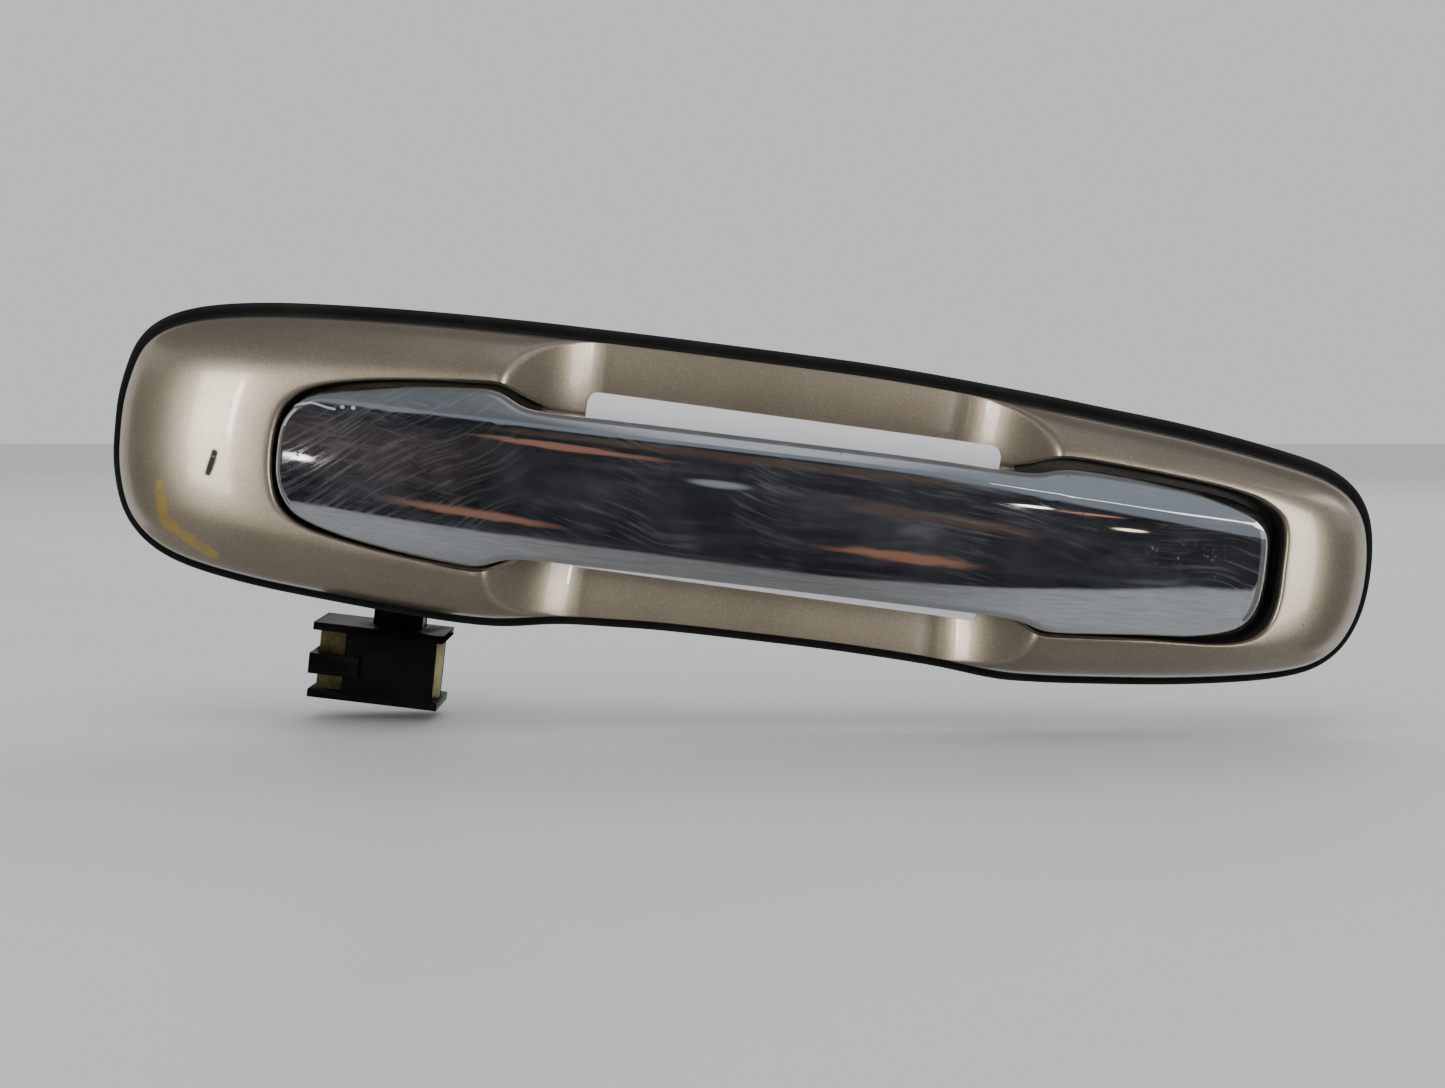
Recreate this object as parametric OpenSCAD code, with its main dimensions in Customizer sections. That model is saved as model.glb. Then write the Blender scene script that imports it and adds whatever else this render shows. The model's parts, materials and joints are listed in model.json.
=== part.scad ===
// Exterior pull handle of a car's side door, right-hand side.
// X runs along the handle towards its hinge end, Y into the door, Z up.
// The origin is midway between the two mounting studs, on the plane of the door skin.
// Heights called h are measured outwards from the door skin, so h is minus Y.

/* [Cover] */
// Height of the cover's painted rim over the door skin
edge_h = 3; // [2.8:0.1:3.4]
// Height of the pads at the rim of the strap's pocket
pad_h = 15; // [14:0.5:16]
// Roundness of the pads between outline and pocket
pad_round = 2; // [1.7:0.1:2.4]
// Thickness of the cover's wall
wall = 2.5; // [2:0.1:2.8]
// Height of the floor of the strap's pocket
pocket_h = 6.6; // [6.5:0.1:6.7]
// Height of the finger scoop's floor near its long edges
scoop_edge_h = 3.6; // [3.2:0.1:4]
// How much lower the scoop's floor is on the centre line
scoop_dip = 2.4; // [1:0.1:2.8]
// Slope of the two ramps of the finger scoop, rise over run
ramp_slope = 1.5; // [1.2:0.1:1.8]
// Softness of the ramp's foot
ramp_foot = 19; // [15:1:20]

/* [Gasket] */
// Thickness of the gasket under the cover
gasket_t = 2.2; // [1.8:0.1:2.4]
// How far the gasket's lip stands out around the cover
gasket_lip = 1.9; // [1:0.1:2.2]
// How much further the lip stands out along the upper side
gasket_top = 0.8; // [0:0.1:1]

/* [Strap] */
// Height of the strap's front at its two ends
strap_end_h = 16; // [15.5:0.1:16.5]
// How much further the middle of the strap bows out
strap_bow = 13; // [11:0.5:15]
// Thickness of the strap at its ends
strap_end_t = 7.2; // [6.8:0.1:7.4]
// How much thicker the strap is in the middle
strap_mid_t = 2.3; // [1.5:0.1:3]
// Radius along the strap's edges
strap_roll = 1.4; // [1:0.1:1.8]
// How much larger that radius gets at the hinge end
strap_roll_more = 1.6; // [0.4:0.1:2]
// Wall of the plated strap shell
strap_wall = 2.2; // [2:0.1:2.4]

/* [Label] */
// Length of the paper label
label_w = 83; // [60:1:84]
// Height of the paper label
label_h = 35.4; // [20:0.2:36]

/* [Mounting] */
// Distance between the two mounting studs
stud_span = 226; // [225:1:228]
// Radius of the studs' threaded ends
stud_r = 3; // [2.5:0.5:3]
// Length of the studs behind the door skin
stud_l = 18; // [12:1:24]
// Thickness of the chassis platforms
platform_t = 3.9; // [3.7:0.1:3.9]

/* [Hinge] */
// Radius of the strap's hinge pin
hinge_pin_r = 2.5; // [2:0.1:2.6]
// Radius of the crank's pin
crank_pin_r = 2; // [1.8:0.1:2.2]
// Radial running clearance of both pins
run_gap = 0.05; // [0.02:0.01:0.08]

/* [Crank] */
// Length of the crank's arm from pivot to nose
arm_r = 24; // [23.5:0.1:24.2]
// Lean of the crank's arm at rest, towards the inside of the door
arm_lean = 28; // [27:0.5:29]
// Radius of the latch rod's hole in its clip
rod_r = 2; // [1.5:0.1:2.1]

/* [Hidden] */

// Stations round the handle: the left end, the upper side to the right,
// the right end and the lower side back. Station k lies above station 44 - k.
// Each row: outline of the cover, rim of the strap's pocket, edge of the strap.
STATIONS = [
  [[-126.2, 1], [-93, 0.5], [-92.1, 0.5]],
  [[-125.5, 9.31], [-92.4, 6.5], [-91.7, 5.8]],
  [[-122.4, 18.1], [-90.6, 10.4], [-89.4, 9.8]],
  [[-114.5, 23.2], [-86.3, 13.5], [-85.53, 12.5]],
  [[-100, 26.1], [-77.5, 15.8], [-77.08, 14.5]],
  [[-80, 27.6], [-66, 17.3], [-66, 16.3]],
  [[-62, 28.3], [-56.5, 17.9], [-57, 17.1]],
  [[-51, 28.5], [-49.8, 18.1], [-50.6, 17.3]],
  [[-44.5, 28.6], [-44.6, 15.8], [-45, 14.9]],
  [[-36, 28.6], [-38, 14.1], [-39.5, 14.3]],
  [[-24, 28.6], [-25.5, 14], [-26, 14.3]],
  [[-12, 28.5], [-13, 14], [-13, 14.3]],
  [[14, 28.2], [14, 14], [14, 14.2]],
  [[27, 27.8], [28, 13.9], [28, 14.1]],
  [[38, 27.2], [42, 13.8], [42, 13.8]],
  [[52.5, 26.2], [53, 14.3], [54, 13.5]],
  [[59, 25.7], [59, 16.6], [59.2, 14.8]],
  [[68, 24.9], [66, 16.9], [66, 15.1]],
  [[85, 23.4], [81, 15.9], [80, 14.3]],
  [[102.68, 20.9], [94.9, 14.4], [93, 12.9]],
  [[115.93, 17.8], [102, 11.9], [99.8, 10.8]],
  [[122.8, 11.59], [104.8, 8.2], [102.4, 7.2]],
  [[125, 1], [105.3, 0.5], [103, 1]],
  [[123.9, -9.3], [105.2, -7], [102.8, -6.8]],
  [[119.4, -16.8], [103, -12.5], [100.4, -12.3]],
  [[110.36, -21], [96.6, -15.5], [94, -14.6]],
  [[92, -24.4], [81, -16.3], [79.5, -15.4]],
  [[72, -26.6], [67, -17.2], [67, -16.4]],
  [[60.5, -27.5], [60, -17.5], [60, -16.6]],
  [[53.5, -27.6], [54.6, -15.2], [54.4, -14.9]],
  [[42, -26.5], [44, -14], [44, -14.3]],
  [[27, -25.9], [28, -14], [28, -14.05]],
  [[14, -25.7], [14, -14], [14, -13.9]],
  [[-12, -25.8], [-13, -14], [-13, -13.9]],
  [[-24, -26.3], [-25.5, -14], [-26, -14]],
  [[-35, -27], [-38, -14], [-39, -14.2]],
  [[-44.5, -28.6], [-44.2, -15.6], [-45.2, -15]],
  [[-51.5, -29.1], [-49.8, -17.8], [-50.4, -17.1]],
  [[-62, -28.9], [-57, -17.7], [-57.5, -16.9]],
  [[-80, -27.8], [-67, -16.9], [-67, -16.1]],
  [[-99, -26.1], [-77.5, -15.4], [-77.08, -14.7]],
  [[-114, -22.9], [-86, -13.4], [-85.53, -12.6]],
  [[-122.1, -17], [-90.5, -10.2], [-89.5, -9.8]],
  [[-125.5, -8.3], [-92.4, -5.5], [-91.7, -4.9]]
];

// Curve points between two stations
STEPS = 3;
// Rows across the middle of each skin
ROWS = 6;

// Ramps: where each one's upper edge crosses the pocket's rim
RAMP_L = -49.6;
RAMP_R = 59.6;
// Softness of the crest between pad and scoop
CREST = 1.6;
// Half height of the scoop
SCOOP_HALF = 26;

// Strap: middle and half length of its bow
BOW_X = 5.5;
BOW_HALF = 97;
// Thickness of the liner's back plate, and the gap it keeps in the shell
PLATE_T = 1.2;
FIT = 0.15;

// Hinge axis of the strap, parallel to Z
HINGE = [94, 3];
// Half length of the hinge barrel
BARREL = 8.5;
BARREL_R = 4.6;
// Ears of the hinge, next to the barrel
EAR_T = 3;
EAR_GAP = 0.4;
EAR_R = 6;

// Crank axis, parallel to X: its Y and Z
CRANK = [17, -23];
// Middle of the crank's arm along X, and the arm's and the nose's widths
ARM_X = -67.5;
ARM_W = 5;
NOSE_W = 4;
NOSE_R = 3;
// Play between nose and cross bar at rest
PLAY = 0.6;
// Ends of the crank's hub along X
HUB = [-75, -62];
HUB_R = 5.5;
// Ears of the crank's pin: the outer and inner face of each
EAR_L = [-79, -76];
EAR_B = [-54.2, -51.2];

// Fork of the pull leg: inner half width, plate thickness and half height,
// then the cross bar's thickness and half height
FORK_IN = 6;
FORK_T = 2.5;
FORK_Z = 5;
BAR_T = 4;
BAR_Z = 3.5;

// Carrier of the counterweight: X, Y and Z limits
CARRIER = [[-85.6, -58.6], [5, 20], [-51, -35.3]];
RAIL = 1.6;

// Latch rod's clip: its Y and Z in the crank's rod arm
ROD = [35, -27];
ROD_ARM = [-75, -72];

// Chassis: platforms, web and the two apertures
PLATFORM_L = [-118, -49];
PLATFORM_R = [64, 118];
PLATFORM_Z = 13;
WEB_Y = [2.2, 5.2];
WEB_Z = 9;
LEG_HOLE = [-82, -54];
LEG_HOLE_Z = 7;
FOOT_HOLE = [85.5, 102];
FOOT_HOLE_Z = 9.7;
SCREWS = [[-104, 9.5], [-104, -9.5], [112, 9.5], [112, -9.5]];

// Return spring round the crank's pin
COIL_R = 5.2;
WIRE_R = 0.7;
TURNS = 4;

// Colours
PAINT = [0.62, 0.56, 0.49];
BLACK = [0.06, 0.06, 0.06];
CHROME = [0.82, 0.84, 0.86];
STEEL = [0.6, 0.6, 0.62];
GREY = [0.2, 0.2, 0.21];
ZINC = [0.66, 0.6, 0.3];
PAPER = [0.93, 0.93, 0.94];

// ---------- curves ----------

// One coordinate pair on the closed curve through the points p
function spline(p, i, t) =
  let (n = len(p), a = p[(i + n - 1) % n], b = p[i % n])
  let (c = p[(i + 1) % n], d = p[(i + 2) % n])
  0.5 * (2 * b + (c - a) * t + (2 * a - 5 * b + 4 * c - d) * t * t
    + (3 * b - 3 * c + d - a) * t * t * t);

// The whole closed curve, STEPS points from each station on
function closed(p) =
  [for (i = [0 : len(p) - 1], k = [0 : STEPS - 1]) spline(p, i, k / STEPS)];

OUTLINE = closed([for (s = STATIONS) s[0]]);
POCKET = closed([for (s = STATIONS) s[1]]);
STRAP = closed([for (s = STATIONS) s[2]]);
COUNT = len(OUTLINE);

function unit(v) = v / norm(v);

// The curve moved inwards by d, square to itself
function inset(p, d) =
  let (n = len(p))
  [for (i = [0 : n - 1])
    let (t = unit(p[(i + 1) % n] - p[(i + n - 1) % n]))
    p[i] + d * [t[1], -t[0]]];

// The share of the way from outline to pocket rim that a distance d makes
function share_in(i, d) = d / norm(POCKET[i] - OUTLINE[i]);

// ---------- heights ----------

// Soft minimum and soft maximum of two heights, blended over k
function soft_min(a, b, k) =
  min(a, b) - pow(max(k - abs(a - b), 0), 2) / (4 * k);
function soft_max(a, b, k) =
  max(a, b) + pow(max(k - abs(a - b), 0), 2) / (4 * k);

// The finger scoop: a shallow floor between two ramps
function scoop(x, z) =
  let (q = min(abs(z) / SCOOP_HALF, 1))
  let (base = scoop_edge_h - scoop_dip * pow(1 - q * q, 2))
  let (left = pad_h + (RAMP_L - x) * ramp_slope)
  let (right = pad_h + (x - RAMP_R) * ramp_slope)
  soft_max(base, max(left, right), ramp_foot);

// The pads, at the share f of the way from outline to pocket
function pad(f) =
  edge_h + (pad_h - edge_h) * pow(1 - pow(1 - f, pad_round), 1 / pad_round);

// The cover outside the pocket, and inside it
function cover_h(f, p) =
  f <= 0 ? edge_h : soft_min(pad(f), scoop(p[0], p[1]), min(CREST, 40 * f));
function floor_h(p) = soft_min(pocket_h, scoop(p[0], p[1]), 1);

// The bow of the strap: front, and rim of the shell
function bow(x) = 1 - pow((x - BOW_X) / BOW_HALF, 2);
function front_h(x) = strap_end_h + strap_bow * bow(x);
function rim_h(x) = front_h(x) - strap_end_t - strap_mid_t * bow(x);

// The crease between the strap's front and its upper facet
function crease_z(x) = 12.3 - 2.4 * pow(max(x - 10, 0) / 90, 2);

// The strap's front at a distance d in from its edge
function strap_h(p, d) =
  let (x = p[0], z = p[1], q = z / 14)
  let (crown = front_h(x) - 1.2 * q * q - 1.2 * pow(q, 4))
  let (facet = front_h(x) - 1.4 - (z - crease_z(x)) * 1.1)
  let (r = strap_roll + strap_roll_more * min(max((x - 88) / 12, 0), 1))
  let (g = max(r - d, 0))
  soft_min(crown, facet, 0.8) - r + sqrt(r * r - g * g);

// ---------- solids from loops ----------

// A loop of curve points with their heights, as points in space
function lift(p, h) = [for (i = [0 : len(p) - 1]) [p[i][0], -h[i], p[i][1]]];
function level(p, h) = [for (q = p) [q[0], -h, q[1]]];

// Rows of points across a loop, without those on the loop itself
function rows_of(loop, rows, height) =
  let (n = len(loop))
  [for (i = [1 : n / 2 - 1], j = [1 : rows - 1])
    let (q = loop[i] + (loop[n - i] - loop[i]) * j / rows)
    [q[0], -height([q[0], q[2]]), q[2]]];

// Index of the point in column i and row j of such a grid
function cell(i, j, rows, n, loop0, grid0) =
  j == 0 ? loop0 + i :
  j == rows ? loop0 + n - i :
  grid0 + (i - 1) * (rows - 1) + j - 1;

function flip(t, back) = back ? [t[2], t[1], t[0]] : t;

// Triangles of the grid across a loop
function grid_faces(n, rows, loop0, grid0, back) = [
  for (i = [1 : n / 2 - 2], j = [0 : rows - 1])
    let (a = cell(i, j, rows, n, loop0, grid0))
    let (b = cell(i + 1, j, rows, n, loop0, grid0))
    let (c = cell(i + 1, j + 1, rows, n, loop0, grid0))
    let (d = cell(i, j + 1, rows, n, loop0, grid0))
    each [flip([a, b, c], back), flip([a, c, d], back)],
  for (j = [0 : rows - 1])
    let (m = n / 2 - 1)
    each [
      flip([loop0, cell(1, j, rows, n, loop0, grid0),
        cell(1, j + 1, rows, n, loop0, grid0)], back),
      flip([cell(m, j, rows, n, loop0, grid0), loop0 + n / 2,
        cell(m, j + 1, rows, n, loop0, grid0)], back)
    ]
];

// A closed solid: loops from the inner edge of its front, round its outer
// edge, to the inner edge of its back, with a grid across each end
module loops_solid(loops, rows, front, back) {
  n = len(loops[0]);
  m = len(loops);
  grid_a = rows_of(loops[0], rows, front);
  grid_b = rows_of(loops[m - 1], rows, back);
  start_a = n * m;
  start_b = start_a + len(grid_a);
  points = concat([for (l = loops) each l], grid_a, grid_b);
  sides = [
    for (j = [0 : m - 2], i = [0 : n - 1])
      let (k = (i + 1) % n, a = (j + 1) * n, b = j * n)
      each [[a + i, a + k, b + k], [a + i, b + k, b + i]]
  ];
  polyhedron(points, concat(
    sides,
    grid_faces(n, rows, 0, start_a, false),
    grid_faces(n, rows, (m - 1) * n, start_b, true)
  ), convexity = 8);
}

// ---------- shared shapes ----------

// A plate with round corners in X and Z, between two values of Y
module plate(x, z, y, r) {
  translate([0, y[1], 0]) rotate([90, 0, 0]) linear_extrude(y[1] - y[0]) {
    translate([x[0] + r, z[0]]) square([x[1] - x[0] - 2 * r, z[1] - z[0]]);
    translate([x[0], z[0] + r]) square([x[1] - x[0], z[1] - z[0] - 2 * r]);
    for (cx = [x[0] + r, x[1] - r], cz = [z[0] + r, z[1] - r])
      translate([cx, cz]) circle(r, $fn = 32);
  }
}

// A box from its limits
module block(x, y, z) {
  translate([x[0], y[0], z[0]]) cube([x[1] - x[0], y[1] - y[0], z[1] - z[0]]);
}

// A round bar along Y, X or Z
module bar_y(x, z, y, r) {
  translate([x, y[0], z]) rotate([-90, 0, 0]) cylinder(h = y[1] - y[0], r = r, $fn = 48);
}
module bar_x(c, x, r) {
  translate([x[0], c[0], c[1]]) rotate([0, 90, 0]) cylinder(h = x[1] - x[0], r = r, $fn = 48);
}
module bar_z(c, z, r) {
  translate([c[0], c[1], z[0]]) cylinder(h = z[1] - z[0], r = r, $fn = 48);
}

// A snap ring with a mouth, lying flat in its own XY plane
module snap_ring(inner, outer, t) {
  linear_extrude(t) difference() {
    circle(outer, $fn = 48);
    circle(inner, $fn = 48);
    translate([0, -outer]) square([inner * 1.4, outer * 2], center = true);
  }
}

// Places children on the strap's back at x, turned along its slope
module on_strap_back(x) {
  slope = 2 * (strap_bow - strap_mid_t) * (BOW_X - x) / (BOW_HALF * BOW_HALF);
  translate([x, PLATE_T - rim_h(x), 0]) rotate([0, 0, -atan(slope)]) children();
}

// ---------- fixed parts ----------

// The painted cover: two crowned pads with a pocket, and the finger scoop
module escutcheon() {
  shares = [0.82, 0.62, 0.44, 0.28, 0.16, 0.08, 0.03];
  inner = inset(POCKET, 0.25);
  function at(i, f) = OUTLINE[i] + f * (POCKET[i] - OUTLINE[i]);
  function below(i, f) = cover_h(f, at(i, f)) - wall;
  function ring(f) = [for (i = [0 : COUNT - 1]) [each at(i, f), cover_h(f, at(i, f))]];
  function pair(l) = [for (q = l) [q[0], -q[2], q[1]]];
  function inward(d) = [for (i = [0 : COUNT - 1])
    let (f = share_in(i, d), q = at(i, f)) [q[0], -below(i, f), q[1]]];
  function halfway(g) = [for (i = [0 : COUNT - 1])
    let (f = share_in(i, 3) * (1 - g) + (1 - share_in(i, 3.2)) * g, q = at(i, f))
    [q[0], -below(i, f), q[1]]];
  function tub(d) = [for (i = [0 : COUNT - 1])
    let (q = at(i, 1 - share_in(i, d))) [q[0], wall - floor_h(q), q[1]]];
  color(PAINT) difference() {
    union() {
      loops_solid([
        lift(inner, [for (i = [0 : COUNT - 1])
          min(floor_h(inner[i]), cover_h(1, POCKET[i]) - 0.02)]),
        pair(ring(1)),
        for (f = shares) pair(ring(f)),
        level(OUTLINE, edge_h),
        level(OUTLINE, gasket_t),
        level([for (i = [0 : COUNT - 1]) at(i, share_in(i, 2.2))], gasket_t),
        inward(3),
        halfway(0.4),
        halfway(0.75),
        halfway(1),
        tub(2.6)
      ], ROWS, function(p) floor_h(p), function(p) floor_h(p) - wall);
      for (s = SCREWS) bar_y(s[0], s[1], [-12, -platform_t - 0.1], 3.2);
    }
    for (s = SCREWS) bar_y(s[0], s[1], [-10.6, -1], 1.55);
    block([LEG_HOLE[0] + 0.5, LEG_HOLE[1] - 0.5], [-12, 0], [-8, 8]);
    block([FOOT_HOLE[0] + 0.5, FOOT_HOLE[1] - 0.5], [-12, 0], [-9.4, 9.4]);
  }
}

// The gasket's outer line: the lip is wider where it faces up
function lip_line() =
  let (n = COUNT, square = inset(OUTLINE, -1))
  [for (i = [0 : n - 1])
    let (d = square[i] - OUTLINE[i])
    OUTLINE[i] + d * (gasket_lip + gasket_top * max(d[1], 0))];

// The rubber gasket between the cover and the door skin
module perimeter_gasket() {
  color(BLACK) rotate([90, 0, 0]) linear_extrude(gasket_t) difference() {
    polygon(lip_line());
    polygon(inset(OUTLINE, 1.9));
  }
}

// An ear of the crank's pin, as a plate between two values of X
module crank_ear(x) {
  translate([x[0], 0, 0]) rotate([90, 0, 90]) linear_extrude(x[1] - x[0]) {
    polygon([[-1, -7.5], [17, -7.5], [23.2, -19.5], [CRANK[0] + 6.6, CRANK[1]], [12, -28], [-1, -13]]);
    translate(CRANK) circle(7, $fn = 48);
  }
}

// The moulded chassis: two platforms, a web, and the ears of both pins
module mounting_chassis() {
  ear_z = BARREL + EAR_GAP;
  color(BLACK) difference() {
    union() {
      plate(PLATFORM_L, [-PLATFORM_Z, PLATFORM_Z], [-platform_t, 0], 5);
      plate(PLATFORM_R, [-PLATFORM_Z, PLATFORM_Z], [-platform_t, 0], 5);
      block([PLATFORM_L[1] - 3, PLATFORM_L[1]], [-platform_t + 0.6, WEB_Y[1]], [-WEB_Z, WEB_Z]);
      block([PLATFORM_R[0], PLATFORM_R[0] + 3], [-platform_t + 0.6, WEB_Y[1]], [-WEB_Z, WEB_Z]);
      block([PLATFORM_L[1] - 3, PLATFORM_R[0] + 3], WEB_Y, [-WEB_Z, WEB_Z]);
      for (z = [-WEB_Z, WEB_Z - 2])
        block([PLATFORM_L[1] - 3, PLATFORM_R[0] + 3], [WEB_Y[0], 9.5], [z, z + 2]);
      for (x = [-26, 4, 34])
        block([x, x + 2], [WEB_Y[0], 8.5], [-WEB_Z, WEB_Z]);
      for (s = [-1, 1]) {
        z = s > 0 ? [ear_z, ear_z + EAR_T] : [-ear_z - EAR_T, -ear_z];
        bar_z(HINGE, z, EAR_R);
        block([HINGE[0] - EAR_R, HINGE[0] + EAR_R], [-platform_t, HINGE[1]], z);
      }
      crank_ear(EAR_L);
      crank_ear(EAR_B);
      block([EAR_L[0], EAR_B[1]], [-1, 3], [-12.6, -7.5]);
      for (s = [-1, 1]) bar_y(s * stud_span / 2, 0, [-platform_t - 1.4, 0], 4.8);
    }
    plate(LEG_HOLE, [-LEG_HOLE_Z, LEG_HOLE_Z], [-9, 4], 2);
    block(FOOT_HOLE, [-9, 1], [-ear_z, ear_z]);
    for (s = SCREWS) {
      bar_y(s[0], s[1], [-9, 1], 1.7);
      bar_y(s[0], s[1], [-2.2, 1], 3.3);
    }
    for (s = [-1, 1]) bar_y(s * stud_span / 2, 0, [-9, 1], stud_r + 0.8);
    for (z = [-16, ear_z + EAR_T])
      block([HINGE[0] - 6, HINGE[0] + 6], [-1.5, 0.5], [z, z + 16 - ear_z - EAR_T]);
    bar_z(HINGE, [-20, 20], hinge_pin_r);
    bar_x(CRANK, [-90, -40], crank_pin_r);
    for (x = [-34, -11, 19, 49])
      bar_y(x, 0, [0, 12], 4.5);
  }
}

// Two threaded studs held in the chassis by their collars
module mounting_studs() {
  color(STEEL) for (s = [-1, 1]) {
    x = s * stud_span / 2;
    bar_y(x, 0, [-platform_t - 3.2, -platform_t - 1.4], stud_r + 1.6);
    bar_y(x, 0, [-platform_t - 1.4, 0], stud_r + 0.8);
    bar_y(x, 0, [0, stud_l - 1], stud_r);
    translate([x, stud_l - 1, 0]) rotate([-90, 0, 0])
      cylinder(h = 1, r1 = stud_r, r2 = stud_r - 0.8, $fn = 48);
  }
}

// Four screws that hold the chassis in the cover
module chassis_screws() {
  color(STEEL) for (s = SCREWS) difference() {
    union() {
      bar_y(s[0], s[1], [-2.2, -0.5], 3);
      bar_y(s[0], s[1], [-10.2, -2.2], 1.5);
    }
    for (a = [0, 90])
      translate([s[0], -0.4, s[1]]) rotate([0, a, 0]) cube([3.4, 1.8, 0.7], center = true);
  }
}

// The strap's hinge pin, with a head below and a groove above
module hinge_pin() {
  top = BARREL + EAR_GAP + EAR_T;
  color(STEEL) difference() {
    union() {
      bar_z(HINGE, [-top - 1.5, -top], hinge_pin_r + 1.5);
      bar_z(HINGE, [-top, top + 2.4], hinge_pin_r);
    }
    translate([HINGE[0], HINGE[1], top + 0.2]) difference() {
      cylinder(h = 0.9, r = hinge_pin_r + 1, $fn = 48);
      translate([0, 0, -1]) cylinder(h = 3, r = hinge_pin_r - 0.6, $fn = 48);
    }
  }
}

// The snap ring in the hinge pin's groove
module hinge_pin_clip() {
  color(STEEL) translate([HINGE[0], HINGE[1], BARREL + EAR_GAP + EAR_T + 0.3])
    snap_ring(hinge_pin_r - 0.6, hinge_pin_r + 1.6, 0.7);
}

// The crank's pin, with a head at the left and a groove at the right
module crank_pin() {
  color(STEEL) difference() {
    union() {
      bar_x(CRANK, [EAR_L[0] - 1.4, EAR_L[0]], crank_pin_r + 1.4);
      bar_x(CRANK, [EAR_L[0], EAR_B[1] + 2.2], crank_pin_r);
    }
    translate([EAR_B[1] + 0.2, CRANK[0], CRANK[1]]) rotate([0, 90, 0]) difference() {
      cylinder(h = 0.9, r = crank_pin_r + 1, $fn = 48);
      translate([0, 0, -1]) cylinder(h = 3, r = crank_pin_r - 0.5, $fn = 48);
    }
  }
}

// The snap ring in the crank pin's groove
module crank_pin_clip() {
  color(STEEL) translate([EAR_B[1] + 0.3, CRANK[0], CRANK[1]]) rotate([0, 90, 0])
    snap_ring(crank_pin_r - 0.5, crank_pin_r + 1.5, 0.7);
}

// The sleeve inside the return spring
module spring_arbor() {
  color(GREY) difference() {
    bar_x(CRANK, [HUB[1] + 0.4, EAR_B[0]], 3.6);
    bar_x(CRANK, [HUB[1] - 1, EAR_B[0] + 1], crank_pin_r);
  }
}

// The return spring: a coil with one leg on the chassis and one on the crank
module return_spring() {
  sides = 8;
  per_turn = 20;
  x0 = HUB[1] + 1.4;
  x1 = EAR_B[0] - 1.2;
  steps = TURNS * per_turn;
  function centre(a, x) = [x, CRANK[0] + COIL_R * cos(a), CRANK[1] + COIL_R * sin(a)];
  coil = [for (i = [0 : steps]) centre(-90 + 360 * i / per_turn, x0 + (x1 - x0) * i / steps)];
  first = coil[0];
  last = coil[steps];
  path = concat([first + [0, -9, -0.6], first + [0, -5, -0.2]], coil,
    [last + [0, 5, -0.2], last + [0, 9, -0.8]]);
  n = len(path);
  function along(i) = unit(path[min(i + 1, n - 1)] - path[max(i - 1, 0)]);
  function ring(i) =
    let (t = along(i), u = unit(cross(t, [1, 0, 0])), v = cross(t, u))
    [for (k = [0 : sides - 1])
      path[i] + WIRE_R * (cos(360 * k / sides) * u + sin(360 * k / sides) * v)];
  points = [for (i = [0 : n - 1]) each ring(i)];
  faces = concat(
    [for (i = [0 : n - 2], k = [0 : sides - 1])
      let (a = i * sides + k, b = i * sides + (k + 1) % sides)
      each [[a, a + sides, b + sides], [a, b + sides, b]]],
    [[for (k = [0 : sides - 1]) k]],
    [[for (k = [0 : sides - 1]) n * sides - 1 - k]]
  );
  color(STEEL) polyhedron(points, faces, convexity = 8);
}

// Rubber buttons on the pocket floor, under the strap's pull end
module rest_bumpers() {
  x = -86;
  top = rim_h(x) - PLATE_T - 0.4;
  color(BLACK) for (z = [-6, 6]) {
    bar_y(x, z, [-top, -pocket_h], 1.8);
    bar_y(x, z, [-pocket_h - 0.8, -pocket_h], 2.4);
  }
}

// The paper label stuck in the scoop, a little askew
module paper_label() {
  cols = 22;
  rows = 8;
  corner = 2;
  tilt = -0.95;
  mid = [7.5, 0.4];
  // Half height at a distance u from the middle, round at the corners
  function half(u) =
    let (e = abs(u) - (label_w / 2 - corner))
    label_h / 2 - (e > 0 ? corner - sqrt(max(corner * corner - e * e, 0)) : 0);
  us = concat([-label_w / 2, -label_w / 2 + 0.5, -label_w / 2 + 1.2],
    [for (i = [0 : cols]) (i / cols - 0.5) * (label_w - 2 * corner)],
    [label_w / 2 - 1.2, label_w / 2 - 0.5, label_w / 2]);
  function spot(u, j, up) =
    let (v = half(u) * (1 - 2 * j / rows))
    let (x = mid[0] + u * cos(tilt) - v * sin(tilt), z = mid[1] + u * sin(tilt) + v * cos(tilt))
    [x, -scoop(x, z) - up, z];
  m = len(us);
  w = rows + 1;
  points = concat(
    [for (u = us, j = [0 : rows]) spot(u, j, 0.5)],
    [for (u = us, j = [0 : rows]) spot(u, j, 0.3)]
  );
  faces = concat(
    [for (i = [0 : m - 2], j = [0 : rows - 1])
      let (a = i * w + j, b = a + w, z = m * w)
      each [[a, b, b + 1], [a, b + 1, a + 1], [z + b + 1, z + b, z + a], [z + a + 1, z + b + 1, z + a]]],
    [for (i = [0 : m - 2])
      let (a = i * w, b = a + w, z = m * w)
      each [[a, z + a, z + b], [a, z + b, b]]],
    [for (i = [0 : m - 2])
      let (a = i * w + rows, b = a + w, z = m * w)
      each [[a, b, z + b], [a, z + b, z + a]]],
    [for (j = [0 : rows - 1])
      let (a = j, z = m * w)
      each [[a, a + 1, z + a + 1], [a, z + a + 1, z + a]]],
    [for (j = [0 : rows - 1])
      let (a = (m - 1) * w + j, z = m * w)
      each [[a + 1, a, z + a], [a + 1, z + a, z + a + 1]]]
  );
  color(PAPER) polyhedron(points, faces, convexity = 4);
}

// ---------- the strap ----------

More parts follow.
